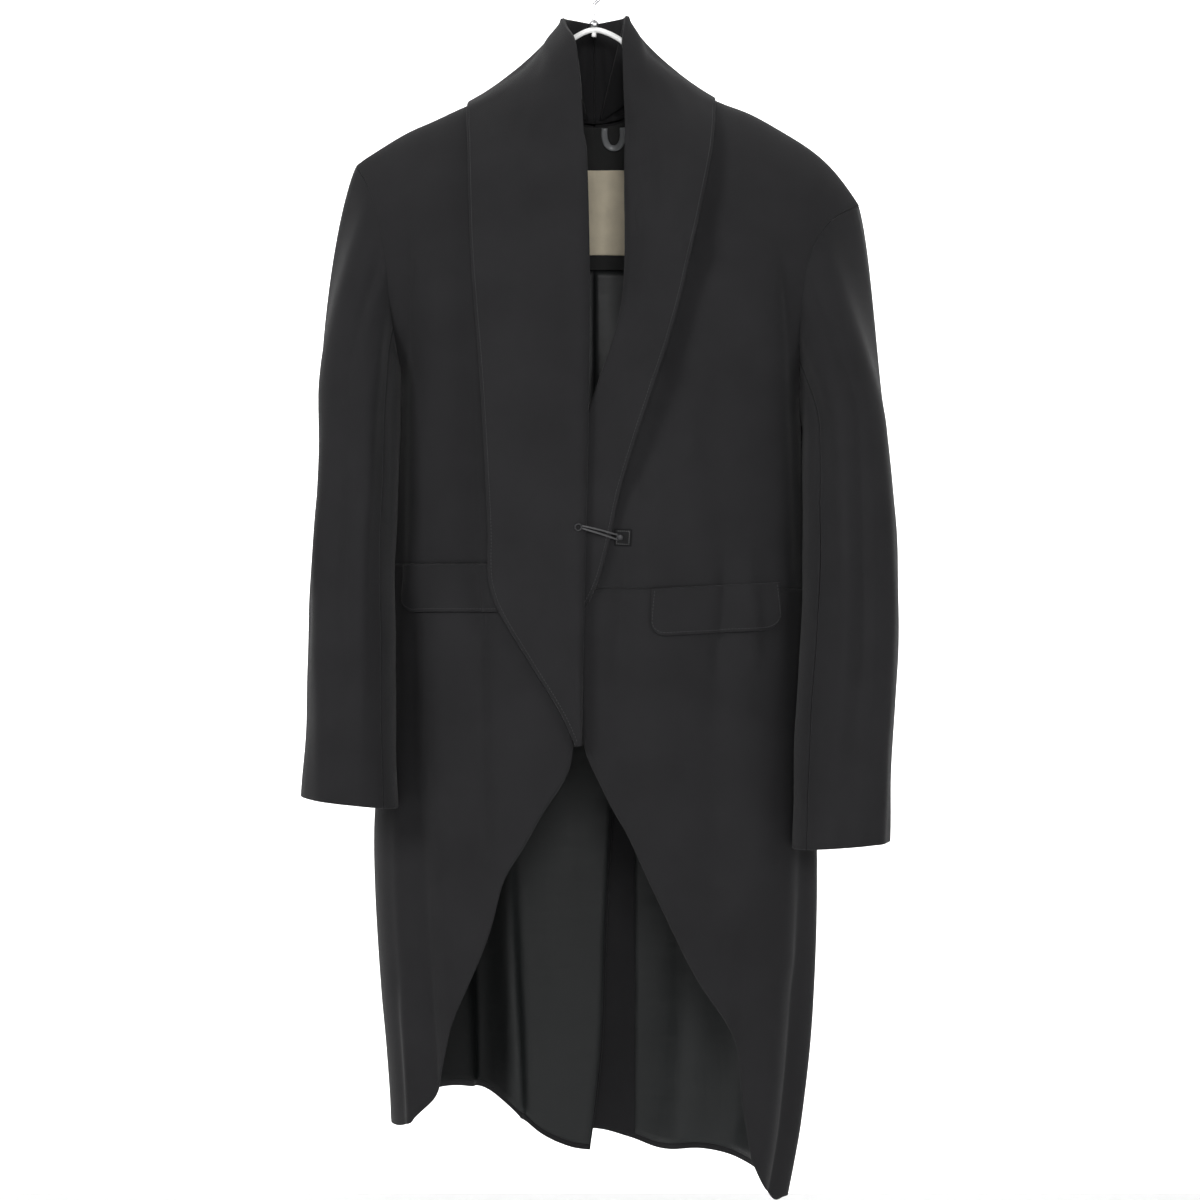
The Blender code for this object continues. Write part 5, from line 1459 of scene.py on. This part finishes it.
def stitches(name, line, normals, material, pitch=3.2, length=2.2, radius=0.28):
    """A row of stitches along a line, each a small bead of thread that dips into the cloth."""
    line, normals = np.asarray(line), np.asarray(normals)
    run = np.concatenate([[0.0], np.cumsum(np.linalg.norm(np.diff(line, axis=0), axis=-1))])
    starts = np.arange(pitch, run[-1] - pitch, pitch)
    shares, bulge = np.array([-0.5, -0.3, 0.0, 0.3, 0.5]), np.array([-0.9, 0.35, 0.8, 0.35, -0.9])
    sides, vertices, faces = 6, [], []
    for start in starts:
        keys = start + shares * length
        centres = np.stack([np.interp(keys, run, line[:, k]) for k in range(3)], axis=-1)
        out = unit(np.array([np.interp(start, run, normals[:, k]) for k in range(3)]))
        along = unit(centres[-1] - centres[0])
        beside = np.cross(along, out)
        for centre, lift, wide in zip(centres, bulge, (0.4, 0.9, 1.0, 0.9, 0.4)):
            for a in np.linspace(0, 2 * math.pi, sides, endpoint=False):
                ring = beside * math.cos(a) + out * math.sin(a)
                vertices.append(centre + out * lift * radius + ring * radius * wide)
        base = len(vertices) - sides * len(shares)
        for i in range(len(shares) - 1):
            for j in range(sides):
                a, b = base + i * sides + j, base + i * sides + (j + 1) % sides
                faces.append((a, b, b + sides, a + sides))
    return new_object(name, smooth_mesh(name, vertices, faces), material)


def along_edge(points, normals, inset, column=None, row=None):
    """A line on the outer face of a wall, a little in from one of its edges."""
    if column is not None:
        points, normals, row = points.swapaxes(0, 1), normals.swapaxes(0, 1), column
    line, beside = points[row], points[row + (1 if row >= 0 else -1)]
    return line + unit(beside - line) * inset, normals[row]


def build_stitching(thread, seam_thread):
    """The rows of stitches that show: round the collars' edges, the flaps, the vent and the tab."""
    for name, (points, normals, thickness) in SURFACES.items():
        if name.startswith("cloth_collar"):
            line, out = along_edge(points, normals, 3.5, column=-1)
            stitches(f"stitches_{name}", line[60:] + out[60:] * thickness, out[60:], thread)
        elif name.startswith("cloth_flap"):
            for part, where in (("end", {"row": -1}), ("near", {"column": 0}), ("far", {"column": -1})):
                line, out = along_edge(points, normals, 3.0, **where)
                stitches(f"stitches_{part}_{name}", line + out * thickness, out, thread)
        elif name == "cloth_back_right":
            line, out = along_edge(points, normals, 5.0, column=0)
            low = line[:, 2] < -840.0
            line, out = line[low], out[low]
            stitches("stitches_vent", line - out * 0.1, -out, seam_thread, pitch=26.0, length=7.0)
    from_x, to_x, from_drop, to_drop = TAB
    inset, count = 1.7, 24
    near, far, high, low = from_x + inset, to_x - inset, from_drop + inset, to_drop - inset
    corners = np.array([(near, high), (far, high), (far, low), (near, low), (near, high)])
    x, drop = np.concatenate([np.linspace(a, b, count) for a, b in zip(corners, corners[1:])]).T
    turn = turn_at(LEFT, x, drop)
    out = form_normal(LEFT, turn, drop)
    line = form(LEFT, turn, drop) + out * (CLOTH + LAID + TAB_THICK)
    stitches("stitches_tab", line, out, seam_thread, pitch=1.9, length=1.3, radius=0.28)


# ---- the stage ------------------------------------------------------------------------------------


def build_cove():
    """A pale floor that curves up into the backdrop, lit so that it shows plain white."""
    half, floor, wall, bend = 7.0, -1.45, 2.2, 0.9
    route = [(-6.0, floor), (wall - bend, floor)]
    route += [
        (wall - bend + bend * math.sin(a), floor + bend - bend * math.cos(a))
        for a in np.linspace(0.1, math.pi / 2, 15)
    ]
    route.append((wall, 5.0))
    points = np.array([(x, y, z) for y, z in route for x in (-half, half)]) / MM
    faces = [(2 * i, 2 * i + 1, 2 * i + 3, 2 * i + 2) for i in range(len(route) - 1)]
    mesh = smooth_mesh("cove", points, faces)
    mesh.materials.append(Shader("pale_floor", (0.85, 0.85, 0.85), 0.9).material)
    paper = Shader("lit_backdrop", (0.85, 0.85, 0.85), 0.9)
    paper.shader.inputs["Emission Color"].default_value = (1.0, 1.0, 1.0, 1.0)
    paper.shader.inputs["Emission Strength"].default_value = BACKDROP_LIGHT
    mesh.materials.append(paper.material)
    for face in mesh.polygons:
        face.material_index = 1 if face.center.y > BACKDROP_FROM else 0
    in_scene("cove", mesh)


def build_stage():
    build_cove()
    world = bpy.data.worlds.new("studio")
    world.use_nodes = True
    world.node_tree.nodes["Background"].inputs["Color"].default_value = (1.0, 1.0, 1.0, 1.0)
    world.node_tree.nodes["Background"].inputs["Strength"].default_value = ROOM_LIGHT
    bpy.context.scene.world = world
    for name, place, target, size, power in LAMPS:
        light = bpy.data.lights.new(name, "AREA")
        light.shape, light.size, light.energy = "SQUARE", size, power
        lamp = in_scene(name, light)
        lamp.location = place
        lamp.rotation_euler = (Vector(target) - Vector(place)).to_track_quat("-Z", "Y").to_euler()

    frame_wide = PHOTO_PIXELS * PIXEL
    camera = bpy.data.cameras.new("camera")
    camera.sensor_width = 36.0
    camera.lens = camera.sensor_width * CAMERA_AWAY / frame_wide
    eye = in_scene("camera", camera)
    middle = PHOTO_PIXELS / 2
    across, down = (middle - HOOK_FROM_LEFT) * PIXEL, (middle + HOOK_ABOVE_FRAME) * PIXEL
    eye.location = Vector((across, -CAMERA_AWAY, -down)) * MM
    eye.rotation_euler = (math.radians(90), 0.0, 0.0)
    bpy.context.scene.camera = eye
    bpy.context.scene.view_settings.view_transform = "Standard"


# ---- the whole ------------------------------------------------------------------------------------


def main():
    build_stage()
    black = wool("black_wool_cloth", (0.0122, 0.0120, 0.0129))
    facing = wool("facing_wool", (0.023, 0.023, 0.023))
    # the lining's material has painted shade in the right tail's recess
    lining = satin("lining_satin", (0.0100, 0.0112, 0.0114), painted_shade=PAINTED_RECESS_SHADE)
    paper = tape("woven_label", (0.66, 0.585, 0.44))
    horn = plain("polished_horn", (0.03, 0.029, 0.028), 0.25, Coat_Weight=0.3)
    thread = plain("black_thread", (0.024, 0.024, 0.025), 0.6)
    seam_thread = plain("grey_thread", (0.11, 0.112, 0.112), 0.6)
    leather = plain(
        "grained_leather", (0.010, 0.010, 0.0105), 0.65, grain=1600, depth=0.0003, Specular_IOR_Level=0.08
    )
    cord = tape("braided_cord", (0.05, 0.05, 0.052))
    steel = plain("satin_steel", (0.6, 0.6, 0.61), 0.28, metallic=1.0)
    dull = plain("gunmetal", (0.045, 0.045, 0.047), 0.5, metallic=1.0)
    white = plain("white_coating", (0.8, 0.8, 0.79), 0.35)
    loop = satin("loop_satin", (0.16, 0.165, 0.17), 0.35)

    build_body(black)
    build_sleeves(black)
    build_collars(black)
    build_inside(facing, lining, paper)
    build_flaps(black)
    build_buttons(horn, thread)
    build_stitching(thread, seam_thread)

    build_fastening(leather, cord, dull)
    build_hanging_loop(loop)
    build_hanger(steel, white)


main()
